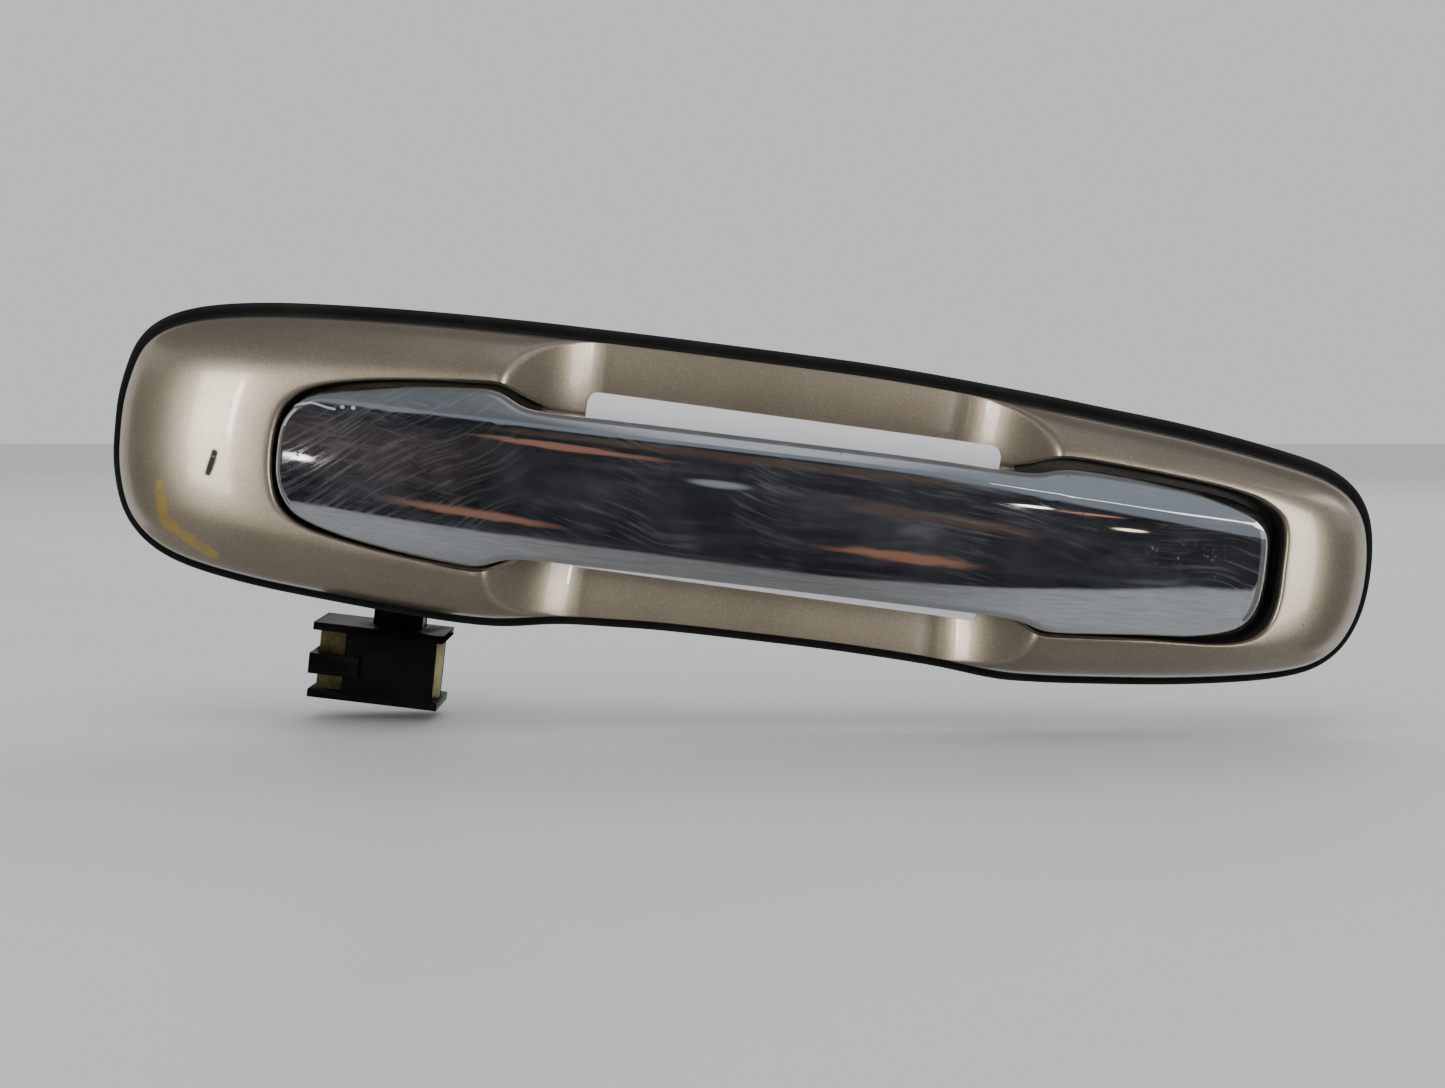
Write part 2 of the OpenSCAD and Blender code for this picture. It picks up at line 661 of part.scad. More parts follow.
// The plated shell of the strap
module strap_shell() {
  depths = [2.4, 1.3, 0.6, 0.18, 0];
  function skin(d) = let (l = inset(STRAP, d)) lift(l, [for (q = l) strap_h(q, d)]);
  function inside(d) =
    let (l = inset(STRAP, d)) lift(l, [for (q = l) strap_h(q, 5) - strap_wall]);
  color(CHROME) loops_solid([
    skin(5),
    for (d = depths) skin(d),
    lift(STRAP, [for (q = STRAP) rim_h(q[0])]),
    let (l = inset(STRAP, strap_wall)) lift(l, [for (q = l) rim_h(q[0])]),
    inside(strap_wall + 0.3),
    inside(5)
  ], ROWS, function(p) strap_h(p, 5), function(p) strap_h(p, 5) - strap_wall);
}

// The liner that fills the shell's back and closes it with a plate
module strap_liner() {
  core = inset(STRAP, strap_wall + 0.3 + FIT);
  plate_edge = inset(STRAP, 0.7);
  function top(p) = strap_h(p, 5) - strap_wall - FIT;
  color(GREY) difference() {
    loops_solid([
      let (l = inset(STRAP, 5)) lift(l, [for (q = l) top(q)]),
      lift(core, [for (q = core) top(q)]),
      lift(core, [for (q = core) rim_h(q[0]) - 0.05]),
      lift(plate_edge, [for (q = plate_edge) rim_h(q[0]) - 0.05]),
      lift(plate_edge, [for (q = plate_edge) rim_h(q[0]) - PLATE_T]),
      let (l = inset(STRAP, 5)) lift(l, [for (q = l) rim_h(q[0]) - PLATE_T])
    ], 3, function(p) top(p), function(p) rim_h(p[0]) - PLATE_T);
    on_strap_back(ARM_X) block([-14.1, 14.1], [-2.1, 3], [-8.1, 8.1]);
    on_strap_back(90) block([-9.1, 7.6], [-2.1, 3], [-7.1, 7.1]);
    for (s = strap_screw_spots()) on_strap_back(s[0]) bar_y(s[1], 0, [-4.6, 0], 1.3);
  }
}

// Screws of the pull leg and of the hinge foot: [place on the strap, offset]
function strap_screw_spots() = [[ARM_X, -11.5], [ARM_X, 11.5], [90, -6.5]];

// The hinge foot, screwed to the strap and turning on the hinge pin
module hinge_foot() {
  color(GREY) difference() {
    union() {
      on_strap_back(90) block([-9, 7.5], [-2, 0], [-7, 7]);
      block([HINGE[0] - 4.1, HINGE[0] + 3.3], [-rim_h(HINGE[0]) + 0.3, HINGE[1] - 0.5], [-6.9, 6.9]);
      bar_z(HINGE, [-BARREL, BARREL], BARREL_R);
    }
    bar_z(HINGE, [-20, 20], hinge_pin_r + 1);
    block([HINGE[0] - 8, HINGE[0] + 8], [HINGE[1] - 9, HINGE[1] + 9], [-2.5, 2.5]);
    for (s = [strap_screw_spots()[2]]) on_strap_back(s[0]) bar_y(s[1], 0, [-5, 5], 1.3);
  }
}

// Flanged bushings pressed into the hinge foot
module hinge_bushings() {
  color([0.85, 0.84, 0.78]) for (s = [-1, 1]) mirror([0, 0, s > 0 ? 0 : 1]) difference() {
    union() {
      bar_z(HINGE, [2.9, BARREL], hinge_pin_r + 1);
      bar_z(HINGE, [BARREL, BARREL + 0.25], hinge_pin_r + 1.8);
    }
    bar_z(HINGE, [2, BARREL + 1], hinge_pin_r + run_gap);
  }
}

// The pull leg: a fork that straddles the crank's arm, with a cross bar
module pull_leg() {
  bar_y0 = CRANK[0] + arm_r * sin(arm_lean) + NOSE_R + PLAY;
  color(GREY) difference() {
    union() {
      on_strap_back(ARM_X) block([-14, 14], [-2, 0], [-8, 8]);
      for (s = [-1, 1]) {
        mid = ARM_X + s * (FORK_IN + FORK_T / 2);
        x = [mid - FORK_T / 2, mid + FORK_T / 2];
        top = 0.4 - rim_h(mid);
        block(x, [top, bar_y0 + BAR_T], [-FORK_Z, FORK_Z]);
        block(x, [top, -6], [-6.5, 6.5]);
      }
      block([ARM_X - FORK_IN - 1, ARM_X + FORK_IN + 1], [bar_y0, bar_y0 + BAR_T], [-BAR_Z, BAR_Z]);
    }
    for (s = [0, 1]) on_strap_back(ARM_X) bar_y(strap_screw_spots()[s][1], 0, [-5, 5], 1.3);
  }
}

// The rubber sleeve that quietens the pull leg's cross bar
module leg_damper() {
  bar_y1 = CRANK[0] + arm_r * sin(arm_lean) + NOSE_R + PLAY + BAR_T;
  color(BLACK) plate([ARM_X - 5, ARM_X + 5], [-3.2, 3.2], [bar_y1, bar_y1 + 1.5], 1.5);
}

// Screws that hold the pull leg and the hinge foot to the liner
module strap_screws() {
  color(STEEL) for (s = strap_screw_spots()) on_strap_back(s[0]) translate([s[1], 0, 0])
    difference() {
      union() {
        bar_y(0, 0, [0, 1.2], 2.3);
        bar_y(0, 0, [-4.4, 0], 1.25);
      }
      for (a = [0, 90]) translate([0, 1.2, 0]) rotate([0, a, 0]) cube([2.6, 1.2, 0.6], center = true);
    }
}

// ---------- the crank ----------

// The bell crank: arm and nose, rod arm, neck and counterweight carrier
module bell_crank() {
  nose = [CRANK[0] + arm_r * sin(arm_lean), CRANK[1] + arm_r * cos(arm_lean)];
  cx = CARRIER[0];
  cy = CARRIER[1];
  cz = CARRIER[2];
  color(BLACK) difference() {
    union() {
      bar_x(CRANK, HUB, HUB_R);
      translate([ARM_X - ARM_W / 2, CRANK[0], CRANK[1]]) rotate([-arm_lean, 0, 0])
        translate([0, -3.4, 0]) cube([ARM_W, 6.8, arm_r - 9.5]);
      translate([ARM_X - NOSE_W / 2, CRANK[0], CRANK[1]]) rotate([-arm_lean, 0, 0])
        translate([0, -1.7, 0]) cube([NOSE_W, 3.4, arm_r]);
      bar_x(nose, [ARM_X - NOSE_W / 2, ARM_X + NOSE_W / 2], NOSE_R);
      block(ROD_ARM, [CRANK[0], ROD[0]], [ROD[1] - 3, CRANK[1] + 3]);
      bar_x(ROD, ROD_ARM, 5.2);
      block([-74.3, -64], [10.5, 16.5], [cz[1] - 1, CRANK[1]]);
      block([-70.4, -68.4], [8.6, 16.5], [cz[1] - 1, CRANK[1] - 6]);
      block(cx, cy, [cz[1] - RAIL, cz[1]]);
      block([cx[0], cx[1]], cy, [cz[0], cz[0] + RAIL]);
      block([-78.6, -60], [cy[0], cy[0] + 2], cz);
      block([-78.6, -60], [cy[1] - 2, cy[1]], cz);
      block([cx[0] - 0.2, -75.5], [cy[0] - 0.4, cy[0] + 1.2], [-46, -41.7]);
      block([cx[0] - 0.2, cx[0] + 1.2], [cy[0] - 0.4, cy[1] + 0.4], [-46, -41.7]);
      block([cx[0] - 0.2, -75.5], [cy[1] - 1.2, cy[1] + 0.4], [-46, -41.7]);
    }
    bar_x(CRANK, [-90, -40], crank_pin_r + run_gap);
    bar_x(ROD, [-90, -60], 3);
  }
}

// The plated steel counterweight in the crank's carrier
module counterweight() {
  gap = 0.1;
  x = [CARRIER[0][0] + 1.2 + gap, CARRIER[0][1] - 0.6];
  y = [CARRIER[1][0] + 2 + gap, CARRIER[1][1] - 2 - gap];
  z = [CARRIER[2][0] + RAIL + gap, CARRIER[2][1] - RAIL - gap];
  r = (y[1] - y[0]) / 2;
  color(ZINC) union() {
    block([x[0], x[1] - r], y, z);
    bar_z([x[1] - r, (y[0] + y[1]) / 2], z, r);
  }
}

// The swivelling clip that takes the latch rod
module rod_clip() {
  color([0.85, 0.84, 0.78]) difference() {
    union() {
      bar_x(ROD, [ROD_ARM[0] - 3, ROD_ARM[0] - 0.1], 4.4);
      bar_x(ROD, [ROD_ARM[0] - 0.1, ROD_ARM[1] + 0.1], 3 - run_gap);
      bar_x(ROD, [ROD_ARM[1] + 0.1, ROD_ARM[1] + 1], 3.5);
      block([ROD_ARM[0] - 3, ROD_ARM[0] - 1.2], [ROD[0], ROD[0] + 7], [ROD[1] - 2.2, ROD[1] + 2.2]);
    }
    bar_x(ROD, [-90, -60], rod_r);
  }
}

escutcheon();
perimeter_gasket();
mounting_chassis();
mounting_studs();
chassis_screws();
hinge_pin();
hinge_pin_clip();
crank_pin();
crank_pin_clip();
spring_arbor();
return_spring();
rest_bumpers();
paper_label();
strap_shell();
strap_liner();
hinge_foot();
hinge_bushings();
pull_leg();
leg_damper();
strap_screws();
bell_crank();
counterweight();
rod_clip();
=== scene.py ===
"""Looks of the car door pull handle: a tan metallic cover with a finger scoop, a chromed
strap, a black gasket and the black crank with its plated counterweight behind."""

import json
import math

import bmesh
import bpy
import numpy as np
from mathutils import Matrix, Vector


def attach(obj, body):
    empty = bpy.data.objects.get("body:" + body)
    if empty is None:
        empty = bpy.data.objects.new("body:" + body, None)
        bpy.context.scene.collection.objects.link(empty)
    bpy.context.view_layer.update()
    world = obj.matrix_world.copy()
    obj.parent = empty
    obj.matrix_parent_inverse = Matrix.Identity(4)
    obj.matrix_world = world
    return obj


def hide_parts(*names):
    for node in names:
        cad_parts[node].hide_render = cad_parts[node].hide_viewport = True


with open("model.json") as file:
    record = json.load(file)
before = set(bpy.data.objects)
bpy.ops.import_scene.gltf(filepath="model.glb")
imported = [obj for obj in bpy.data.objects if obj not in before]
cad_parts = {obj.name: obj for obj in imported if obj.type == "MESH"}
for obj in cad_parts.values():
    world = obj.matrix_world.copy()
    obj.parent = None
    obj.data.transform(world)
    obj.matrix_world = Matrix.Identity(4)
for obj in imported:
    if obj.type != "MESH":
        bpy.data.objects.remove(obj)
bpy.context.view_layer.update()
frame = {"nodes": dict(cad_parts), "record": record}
MM = 0.001

# ---------------------------------------------------------------- curves (millimetres, as in the CAD)
# A height h is measured outwards from the door skin, so it is -Y.
# Stations round the handle: outline of the cover, rim of the strap's pocket, edge of the strap.
STATIONS = [
    ((-126.2, 1), (-93, 0.5), (-92.1, 0.5)), ((-125.5, 9.31), (-92.4, 6.5), (-91.7, 5.8)),
    ((-122.4, 18.1), (-90.6, 10.4), (-89.4, 9.8)), ((-114.5, 23.2), (-86.3, 13.5), (-85.53, 12.5)),
    ((-100, 26.1), (-77.5, 15.8), (-77.08, 14.5)), ((-80, 27.6), (-66, 17.3), (-66, 16.3)),
    ((-62, 28.3), (-56.5, 17.9), (-57, 17.1)), ((-51, 28.5), (-49.8, 18.1), (-50.6, 17.3)),
    ((-44.5, 28.6), (-44.6, 15.8), (-45, 14.9)), ((-36, 28.6), (-38, 14.1), (-39.5, 14.3)),
    ((-24, 28.6), (-25.5, 14), (-26, 14.3)), ((-12, 28.5), (-13, 14), (-13, 14.3)),
    ((14, 28.2), (14, 14), (14, 14.2)), ((27, 27.8), (28, 13.9), (28, 14.1)),
    ((38, 27.2), (42, 13.8), (42, 13.8)), ((52.5, 26.2), (53, 14.3), (54, 13.5)),
    ((59, 25.7), (59, 16.6), (59.2, 14.8)), ((68, 24.9), (66, 16.9), (66, 15.1)),
    ((85, 23.4), (81, 15.9), (80, 14.3)), ((102.68, 20.9), (94.9, 14.4), (93, 12.9)),
    ((115.93, 17.8), (102, 11.9), (99.8, 10.8)), ((122.8, 11.59), (104.8, 8.2), (102.4, 7.2)),
    ((125, 1), (105.3, 0.5), (103, 1)), ((123.9, -9.3), (105.2, -7), (102.8, -6.8)),
    ((119.4, -16.8), (103, -12.5), (100.4, -12.3)), ((110.36, -21), (96.6, -15.5), (94, -14.6)),
    ((92, -24.4), (81, -16.3), (79.5, -15.4)), ((72, -26.6), (67, -17.2), (67, -16.4)),
    ((60.5, -27.5), (60, -17.5), (60, -16.6)), ((53.5, -27.6), (54.6, -15.2), (54.4, -14.9)),
    ((42, -26.5), (44, -14), (44, -14.3)), ((27, -25.9), (28, -14), (28, -14.05)),
    ((14, -25.7), (14, -14), (14, -13.9)), ((-12, -25.8), (-13, -14), (-13, -13.9)),
    ((-24, -26.3), (-25.5, -14), (-26, -14)), ((-35, -27), (-38, -14), (-39, -14.2)),
    ((-44.5, -28.6), (-44.2, -15.6), (-45.2, -15)), ((-51.5, -29.1), (-49.8, -17.8), (-50.4, -17.1)),
    ((-62, -28.9), (-57, -17.7), (-57.5, -16.9)), ((-80, -27.8), (-67, -16.9), (-67, -16.1)),
    ((-99, -26.1), (-77.5, -15.4), (-77.08, -14.7)), ((-114, -22.9), (-86, -13.4), (-85.53, -12.6)),
    ((-122.1, -17), (-90.5, -10.2), (-89.5, -9.8)), ((-125.5, -8.3), (-92.4, -5.5), (-91.7, -4.9)),
]
SAMPLES = 20  # points from one station to the next

# the cover: outer edge, pads, power of their rounding, wall and floor of the pocket
EDGE_H = 3.0
PAD_H = 15.0
PAD_ROUND = 2.0
WALL = 2.5
POCKET_H = 6.6

# the finger scoop, the ramps at both ends of it and the softness of their crest
SCOOP_EDGE = 3.6
SCOOP_DIP = 2.4
SCOOP_HALF = 26.0
RAMP_SLOPE = 1.5
RAMP_FOOT = 19.0
RAMP_L = -49.6
RAMP_R = 59.6
CREST = 1.6

# the strap: height of its ends, bow and where it is highest, thickness, crown of its face
END_H = 16.0
BOW = 13.0
BOW_X = 5.5
BOW_HALF = 97
END_T = 7.2
MID_T = 2.3
STRAP_HALF = 14
CROWN = 1.2

# the strap's upper crease, the facet above it, and the rolled edge; both soften at the hinge end
CREASE_Z = 12.3
CREASE_FALL = 2.4
FACET_DROP = 1.4
FACET_SLOPE = 1.1
CREASE_SOFT = 0.8
CREASE_SOFT_MORE = 2.6
ROLL = 1.4
ROLL_MORE = 1.6
# X where the crease starts to fall, where it starts to soften and where the roll starts to widen,
# each with the length that it takes
FALL_X = (10, 90)
SOFTEN_X = (35, 60)
WIDEN_X = (88, 12)


def closed(column, smooth):
    """A dense closed curve through one column of the stations, smoothed a number of times."""
    points = np.array([s[column] for s in STATIONS], float)
    a, b, c, d = (np.roll(points, k, 0)[:, None, :] for k in (1, 0, -1, -2))
    t = (np.arange(SAMPLES) / SAMPLES)[None, :, None]
    curve = 0.5 * (2 * b + (c - a) * t + (2 * a - 5 * b + 4 * c - d) * t ** 2
                   + (3 * b - 3 * c + d - a) * t ** 3)
    curve = curve.reshape(-1, 2)
    for _ in range(smooth):
        near = np.roll(curve, 1, 0) + curve + np.roll(curve, -1, 0)
        curve = (np.roll(curve, 2, 0) + near * 2 + np.roll(curve, -2, 0)) / 8
    return curve


OUTLINE = closed(0, 8)
POCKET = closed(1, 8)
STRAP = closed(2, 12)
N = len(OUTLINE)
SPAN = np.linalg.norm(POCKET - OUTLINE, axis=1)


def inset(loop, depth):
    """The loop moved inwards along its own normals."""
    along = np.roll(loop, -2, 0) - np.roll(loop, 2, 0)
    along /= np.linalg.norm(along, axis=1)[:, None]
    return loop + depth * np.stack([along[:, 1], -along[:, 0]], 1)


def at(f):
    """The loop that lies at fraction f of the way from the outline to the pocket."""
    return OUTLINE + (POCKET - OUTLINE) * (f if np.isscalar(f) else f[:, None])


def soft_min(a, b, k):
    return np.minimum(a, b) - np.maximum(k - np.abs(a - b), 0) ** 2 / (4 * np.maximum(k, 1e-6))


def soft_max(a, b, k):
    return np.maximum(a, b) + np.maximum(k - np.abs(a - b), 0) ** 2 / (4 * k)


def scoop(x, z):
    """Height of the finger scoop, with its ramps rising to the pads."""
    q = np.minimum(np.abs(z) / SCOOP_HALF, 1)
    base = SCOOP_EDGE - SCOOP_DIP * (1 - q * q) ** 2
    left = PAD_H + (RAMP_L - x) * RAMP_SLOPE
    right = PAD_H + (x - RAMP_R) * RAMP_SLOPE
    return soft_max(base, np.maximum(left, right), RAMP_FOOT)


def pad(f):
    return EDGE_H + (PAD_H - EDGE_H) * (1 - (1 - f) ** PAD_ROUND) ** (1 / PAD_ROUND)


def cover_h(f, p):
    """Height of the cover's outer face; the crest sharpens close to the outline."""
    k = np.minimum(CREST, 40 * f) * np.ones(len(p))
    return soft_min(pad(f) * np.ones(len(p)), scoop(p[:, 0], p[:, 1]), k)


def floor_h(p):
    return soft_min(POCKET_H * np.ones(len(p)), scoop(p[:, 0], p[:, 1]), 1.0)


def bow(x):
    return 1 - ((x - BOW_X) / BOW_HALF) ** 2


def front_h(x):
    return END_H + BOW * bow(x)


def rim_h(x):
    """Height of the strap's back edge."""
    return front_h(x) - END_T - MID_T * bow(x)


def strap_h(p, d):
    """Height of the strap's face at points p that lie d inside its edge."""
    x, z = p[:, 0], p[:, 1]
    q = z / STRAP_HALF
    crown = front_h(x) - CROWN * q * q - CROWN * q ** 4
    crease = CREASE_Z - CREASE_FALL * (np.maximum(x - FALL_X[0], 0) / FALL_X[1]) ** 2
    facet = front_h(x) - FACET_DROP - (z - crease) * FACET_SLOPE
    soft = CREASE_SOFT + CREASE_SOFT_MORE * np.clip((x - SOFTEN_X[0]) / SOFTEN_X[1], 0, 1)
    roll = ROLL + ROLL_MORE * np.clip((x - WIDEN_X[0]) / WIDEN_X[1], 0, 1)
    g = np.maximum(roll - d, 0)
    return soft_min(crown, facet, soft) - roll + np.sqrt(roll * roll - g * g)


# ---------------------------------------------------------------- meshes from loops
def link(ob):
    bpy.context.scene.collection.objects.link(ob)
    return ob


def space(p, h):
    """Points in space from points in X and Z and their height."""
    return np.stack([p[:, 0], -np.asarray(h) * np.ones(len(p)), p[:, 1]], 1)


def grid_across(loop, rows, height):
    """Rows of points between each point of a loop and the one opposite, closer at both edges."""
    i = np.arange(1, N // 2)
    out = []
    for j in range(1, rows):
        t = j / rows
        t -= 0.10 * math.sin(2 * math.pi * t)
        q = loop[i] + (loop[N - i] - loop[i]) * t
        out.append(space(q, height(q)))
    return np.stack(out, 1).reshape(-1, 3)


def skin(name, loops, front=None, back=None, rows=26):
    """A mesh of loops, with a grid across the first loop and across the last where it has a height."""
    count = len(loops)
    co = [np.concatenate(loops)]
    faces = []
    for j in range(count - 1):
        for i in range(N):
            k = (i + 1) % N
            faces.append((j * N + i, (j + 1) * N + i, (j + 1) * N + k, j * N + k))
    start = N * count

    def fill(base, grid0, flip):
        def cell(i, j):
            if j == 0:
                return base + i
            if j == rows:
                return base + N - i
            return grid0 + (i - 1) * (rows - 1) + j - 1
        last = N // 2 - 1
        quads = [(cell(i, j), cell(i, j + 1), cell(i + 1, j + 1), cell(i + 1, j))
                 for i in range(1, last) for j in range(rows)]
        quads += [(base, cell(1, j + 1), cell(1, j)) for j in range(rows)]
        quads += [(cell(last, j), cell(last, j + 1), base + N // 2) for j in range(rows)]
        return [q[::-1] for q in quads] if flip else quads

    for height, which, flip in ((front, 0, False), (back, count - 1, True)):
        if height is None:
            continue
        co.append(grid_across(loops[which][:, [0, 2]], rows, height))
        faces += fill(which * N, start, flip)
        start += len(co[-1])
    return solid(name, np.concatenate(co), faces)


def solid(name, co, faces):
    """A smooth-shaded object from points in millimetres, with its seams merged."""
    me = bpy.data.meshes.new(name)
    me.from_pydata((np.asarray(co) * MM).tolist(), [], faces)
    me.validate()
    bm = bmesh.new()
    bm.from_mesh(me)
    bmesh.ops.remove_doubles(bm, verts=bm.verts, dist=2e-7)
    bmesh.ops.recalc_face_normals(bm, faces=bm.faces)
    bm.to_mesh(me)
    bm.free()
    me.polygons.foreach_set("use_smooth", [True] * len(me.polygons))
    return link(bpy.data.objects.new(name, me))


# ---------------------------------------------------------------- materials
class Nodes:
    """Short names for building a node tree."""

    def __init__(self, tree):
        self.tree = tree
        self.tex = self.add("ShaderNodeTexCoord")
        self.pos = self.tex.outputs["Object"]

    def add(self, kind, **props):
        node = self.tree.nodes.new(kind)
        for k, v in props.items():
            setattr(node, k, v)
        return node

    def link(self, a, b):
        self.tree.links.new(a, b)

    def put(self, socket, value):
        if isinstance(value, bpy.types.NodeSocket):
            self.link(value, socket)
        else:
            socket.default_value = value

    def mapped(self, scale=(1, 1, 1), at=(0, 0, 0), turn=(0, 0, 0), vec=None):
        node = self.add("ShaderNodeMapping")
        self.link(self.pos if vec is None else vec, node.inputs["Vector"])
        node.inputs["Scale"].default_value = scale
        node.inputs["Location"].default_value = at
        node.inputs["Rotation"].default_value = turn
        return node.outputs["Vector"]

    def noise(self, scale, detail=4.0, vec=None, rough=0.55, distortion=0.0):
        node = self.add("ShaderNodeTexNoise")
        self.link(self.pos if vec is None else vec, node.inputs["Vector"])
        node.inputs["Scale"].default_value = scale
        node.inputs["Detail"].default_value = detail
        node.inputs["Roughness"].default_value = rough
        node.inputs["Distortion"].default_value = distortion
        return node.outputs["Fac"]

    def voronoi(self, scale, out="Distance"):
        node = self.add("ShaderNodeTexVoronoi")
        self.link(self.pos, node.inputs["Vector"])
        node.inputs["Scale"].default_value = scale
        return node.outputs[out]

    def ramp(self, fac, *stops):
        """A colour ramp through stops of (place, grey) or (place, colour)."""
        node = self.add("ShaderNodeValToRGB")
        self.link(fac, node.inputs["Fac"])
        elements = node.color_ramp.elements
        while len(elements) < len(stops):
            elements.new(0.5)
        for element, (place, c) in zip(elements, stops):
            element.position = place
            element.color = (*c, 1) if isinstance(c, tuple) else (c, c, c, 1)
        return node.outputs["Color"]

    def math(self, op, a, b=0.0, c=0.0):
        node = self.add("ShaderNodeMath", operation=op)
        for socket, value in zip(node.inputs, (a, b, c)):
            self.put(socket, value)
        return node.outputs[0]

    def plus(self, a, b):
        return self.math("ADD", a, b)

    def minus(self, a, b):
        return self.math("SUBTRACT", a, b)

    def times(self, a, b):
        return self.math("MULTIPLY", a, b)

    def times_plus(self, a, b, c):
        return self.math("MULTIPLY_ADD", a, b, c)

    def over(self, a, b):
        return self.math("DIVIDE", a, b)

    def most(self, a, b):
        return self.math("MAXIMUM", a, b)

    def length(self, a, b):
        return self.math("SQRT", self.plus(self.times(a, a), self.times(b, b)))

    def mix(self, fac, a, b, blend="MIX"):
        node = self.add("ShaderNodeMix", data_type="RGBA", blend_type=blend)
        self.put(node.inputs[0], fac)
        for socket, value in ((node.inputs[6], a), (node.inputs[7], b)):
            self.put(socket, (*value, 1) if isinstance(value, tuple) else value)
        return node.outputs[2]

    def bump(self, height, strength, distance, under=None):
        node = self.add("ShaderNodeBump")
        self.link(height, node.inputs["Height"])
        node.inputs["Strength"].default_value = strength
        node.inputs["Distance"].default_value = distance
        if under is not None:
            self.link(under, node.inputs["Normal"])
        return node.outputs["Normal"]

    def xyz(self, vec=None):
        node = self.add("ShaderNodeSeparateXYZ")
        self.link(self.pos if vec is None else vec, node.inputs[0])
        return node.outputs

    def step(self, value, low, high):
        """0 at low and 1 at high, smooth in between."""
        node = self.add("ShaderNodeMapRange", interpolation_type="SMOOTHSTEP")
        self.link(value, node.inputs["Value"])
        node.inputs["From Min"].default_value = low
        node.inputs["From Max"].default_value = high
        return node.outputs["Result"]

    def streak(self, a, b, width, wobble=0.0, soft=0.6):
        """1 along the line from a to b in X and Z (millimetres), fading out across its width."""
        x, _, z = self.xyz()
        ax, az, bx, bz = (v * MM for v in (*a, *b))
        if wobble:
            shift = self.times(self.minus(self.noise(90, 2), 0.5), wobble * MM)
            x = self.plus(x, shift)
            z = self.minus(z, shift)
        dx, dz = bx - ax, bz - az
        px = self.minus(x, ax)
        pz = self.minus(z, az)
        along = self.over(self.plus(self.times(px, dx), self.times(pz, dz)), dx * dx + dz * dz)
        along = self.math("MINIMUM", self.most(along, 0.0), 1.0)
        off = self.length(self.minus(px, self.times(along, dx)), self.minus(pz, self.times(along, dz)))
        return self.step(off, width * MM, width * MM * (1 - soft))


def material(name, base, metallic=0.0, rough=0.5, coat=0.0, coat_rough=0.05):
    """A material with its Principled node and the names for building on it."""
    m = bpy.data.materials.new(name)
    m.use_nodes = True
    b = m.node_tree.nodes["Principled BSDF"]
    b.inputs["Base Color"].default_value = (*base, 1)
    b.inputs["Metallic"].default_value = metallic
    b.inputs["Roughness"].default_value = rough
    b.inputs["Coat Weight"].default_value = coat
    b.inputs["Coat Roughness"].default_value = coat_rough
    return m, b.inputs, Nodes(m.node_tree)


def paint():
    """Tan metallic paint with fine flakes, and the marks of use on its outer face."""
    metallic, coat = 0.85, 0.55
    m, sockets, n = material("tan_paint", (0.30, 0.25, 0.19), metallic, 0.36, coat, 0.07)
    flake = n.voronoi(4200, "Color")
    cloud = n.ramp(n.noise(45, 5), (0.35, 0.0), (0.7, 1.0))
    tone = n.mix(cloud, (0.285, 0.240, 0.180), (0.325, 0.275, 0.210))
    glint = n.ramp(n.math("FRACT", n.times(flake, 3.7)), (0.0, 0.90), (0.8, 1.0), (1.0, 1.22))
    tone = n.mix(1.0, tone, glint, "MULTIPLY")
    # the smear, the scuff and the specks lie on the outer face only
    facing = n.xyz(n.tex.outputs["Normal"])[1]
    outer = n.step(facing, 0.1, -0.1)
    # the amber smear at the pull end, in two strokes
    smear = n.most(n.streak((-115.2, -9.0), (-113.8, -16), 1.5, 3.0),
                   n.streak((-113.8, -16), (-103.5, -21.8), 1.7, 4.0))
    smear = n.times(smear, n.ramp(n.noise(300, 3), (0.30, 0.25), (0.55, 1.0)))
    smear = n.times(smear, outer)
    tone = n.mix(n.times(smear, 0.85), tone, (0.56, 0.38, 0.09))
    # a black scuff, fine specks, and a faint rubbed dirt in clouds
    scuff = n.times(n.streak((-104.3, -1.3), (-105.3, -5.2), 0.9, 1.5),
                    n.ramp(n.noise(1500, 3), (0.26, 0.0), (0.36, 1.0)))
    specks = n.ramp(n.voronoi(170), (0.035, 1.0), (0.06, 0.0))
    specks = n.times(specks, n.ramp(n.noise(38, 2), (0.5, 0.0), (0.62, 1.0)))
    dirt = n.times(n.most(scuff, n.times(specks, 0.75)), outer)
    rub = n.times(n.ramp(n.noise(26, 6, rough=0.7), (0.55, 0.0), (0.8, 1.0)), 0.22)
    tone = n.mix(rub, tone, (0.20, 0.17, 0.13))
    tone = n.mix(dirt, tone, (0.02, 0.016, 0.012))
    n.link(tone, sockets["Base Color"])
    rough = n.times_plus(n.noise(70, 4), 0.10, 0.31)
    n.link(n.plus(rough, n.times(dirt, 0.4)), sockets["Roughness"])
    # dirt hides the clear coat and the metal under it
    clean = n.minus(1.0, dirt)
    n.link(n.times(clean, coat), sockets["Coat Weight"])
    n.link(n.times(clean, metallic), sockets["Metallic"])
    fine = n.bump(n.noise(380, 2), 0.10, 0.00004)
    n.link(n.bump(flake, 0.06, 0.00006, fine), sockets["Normal"])
    return m


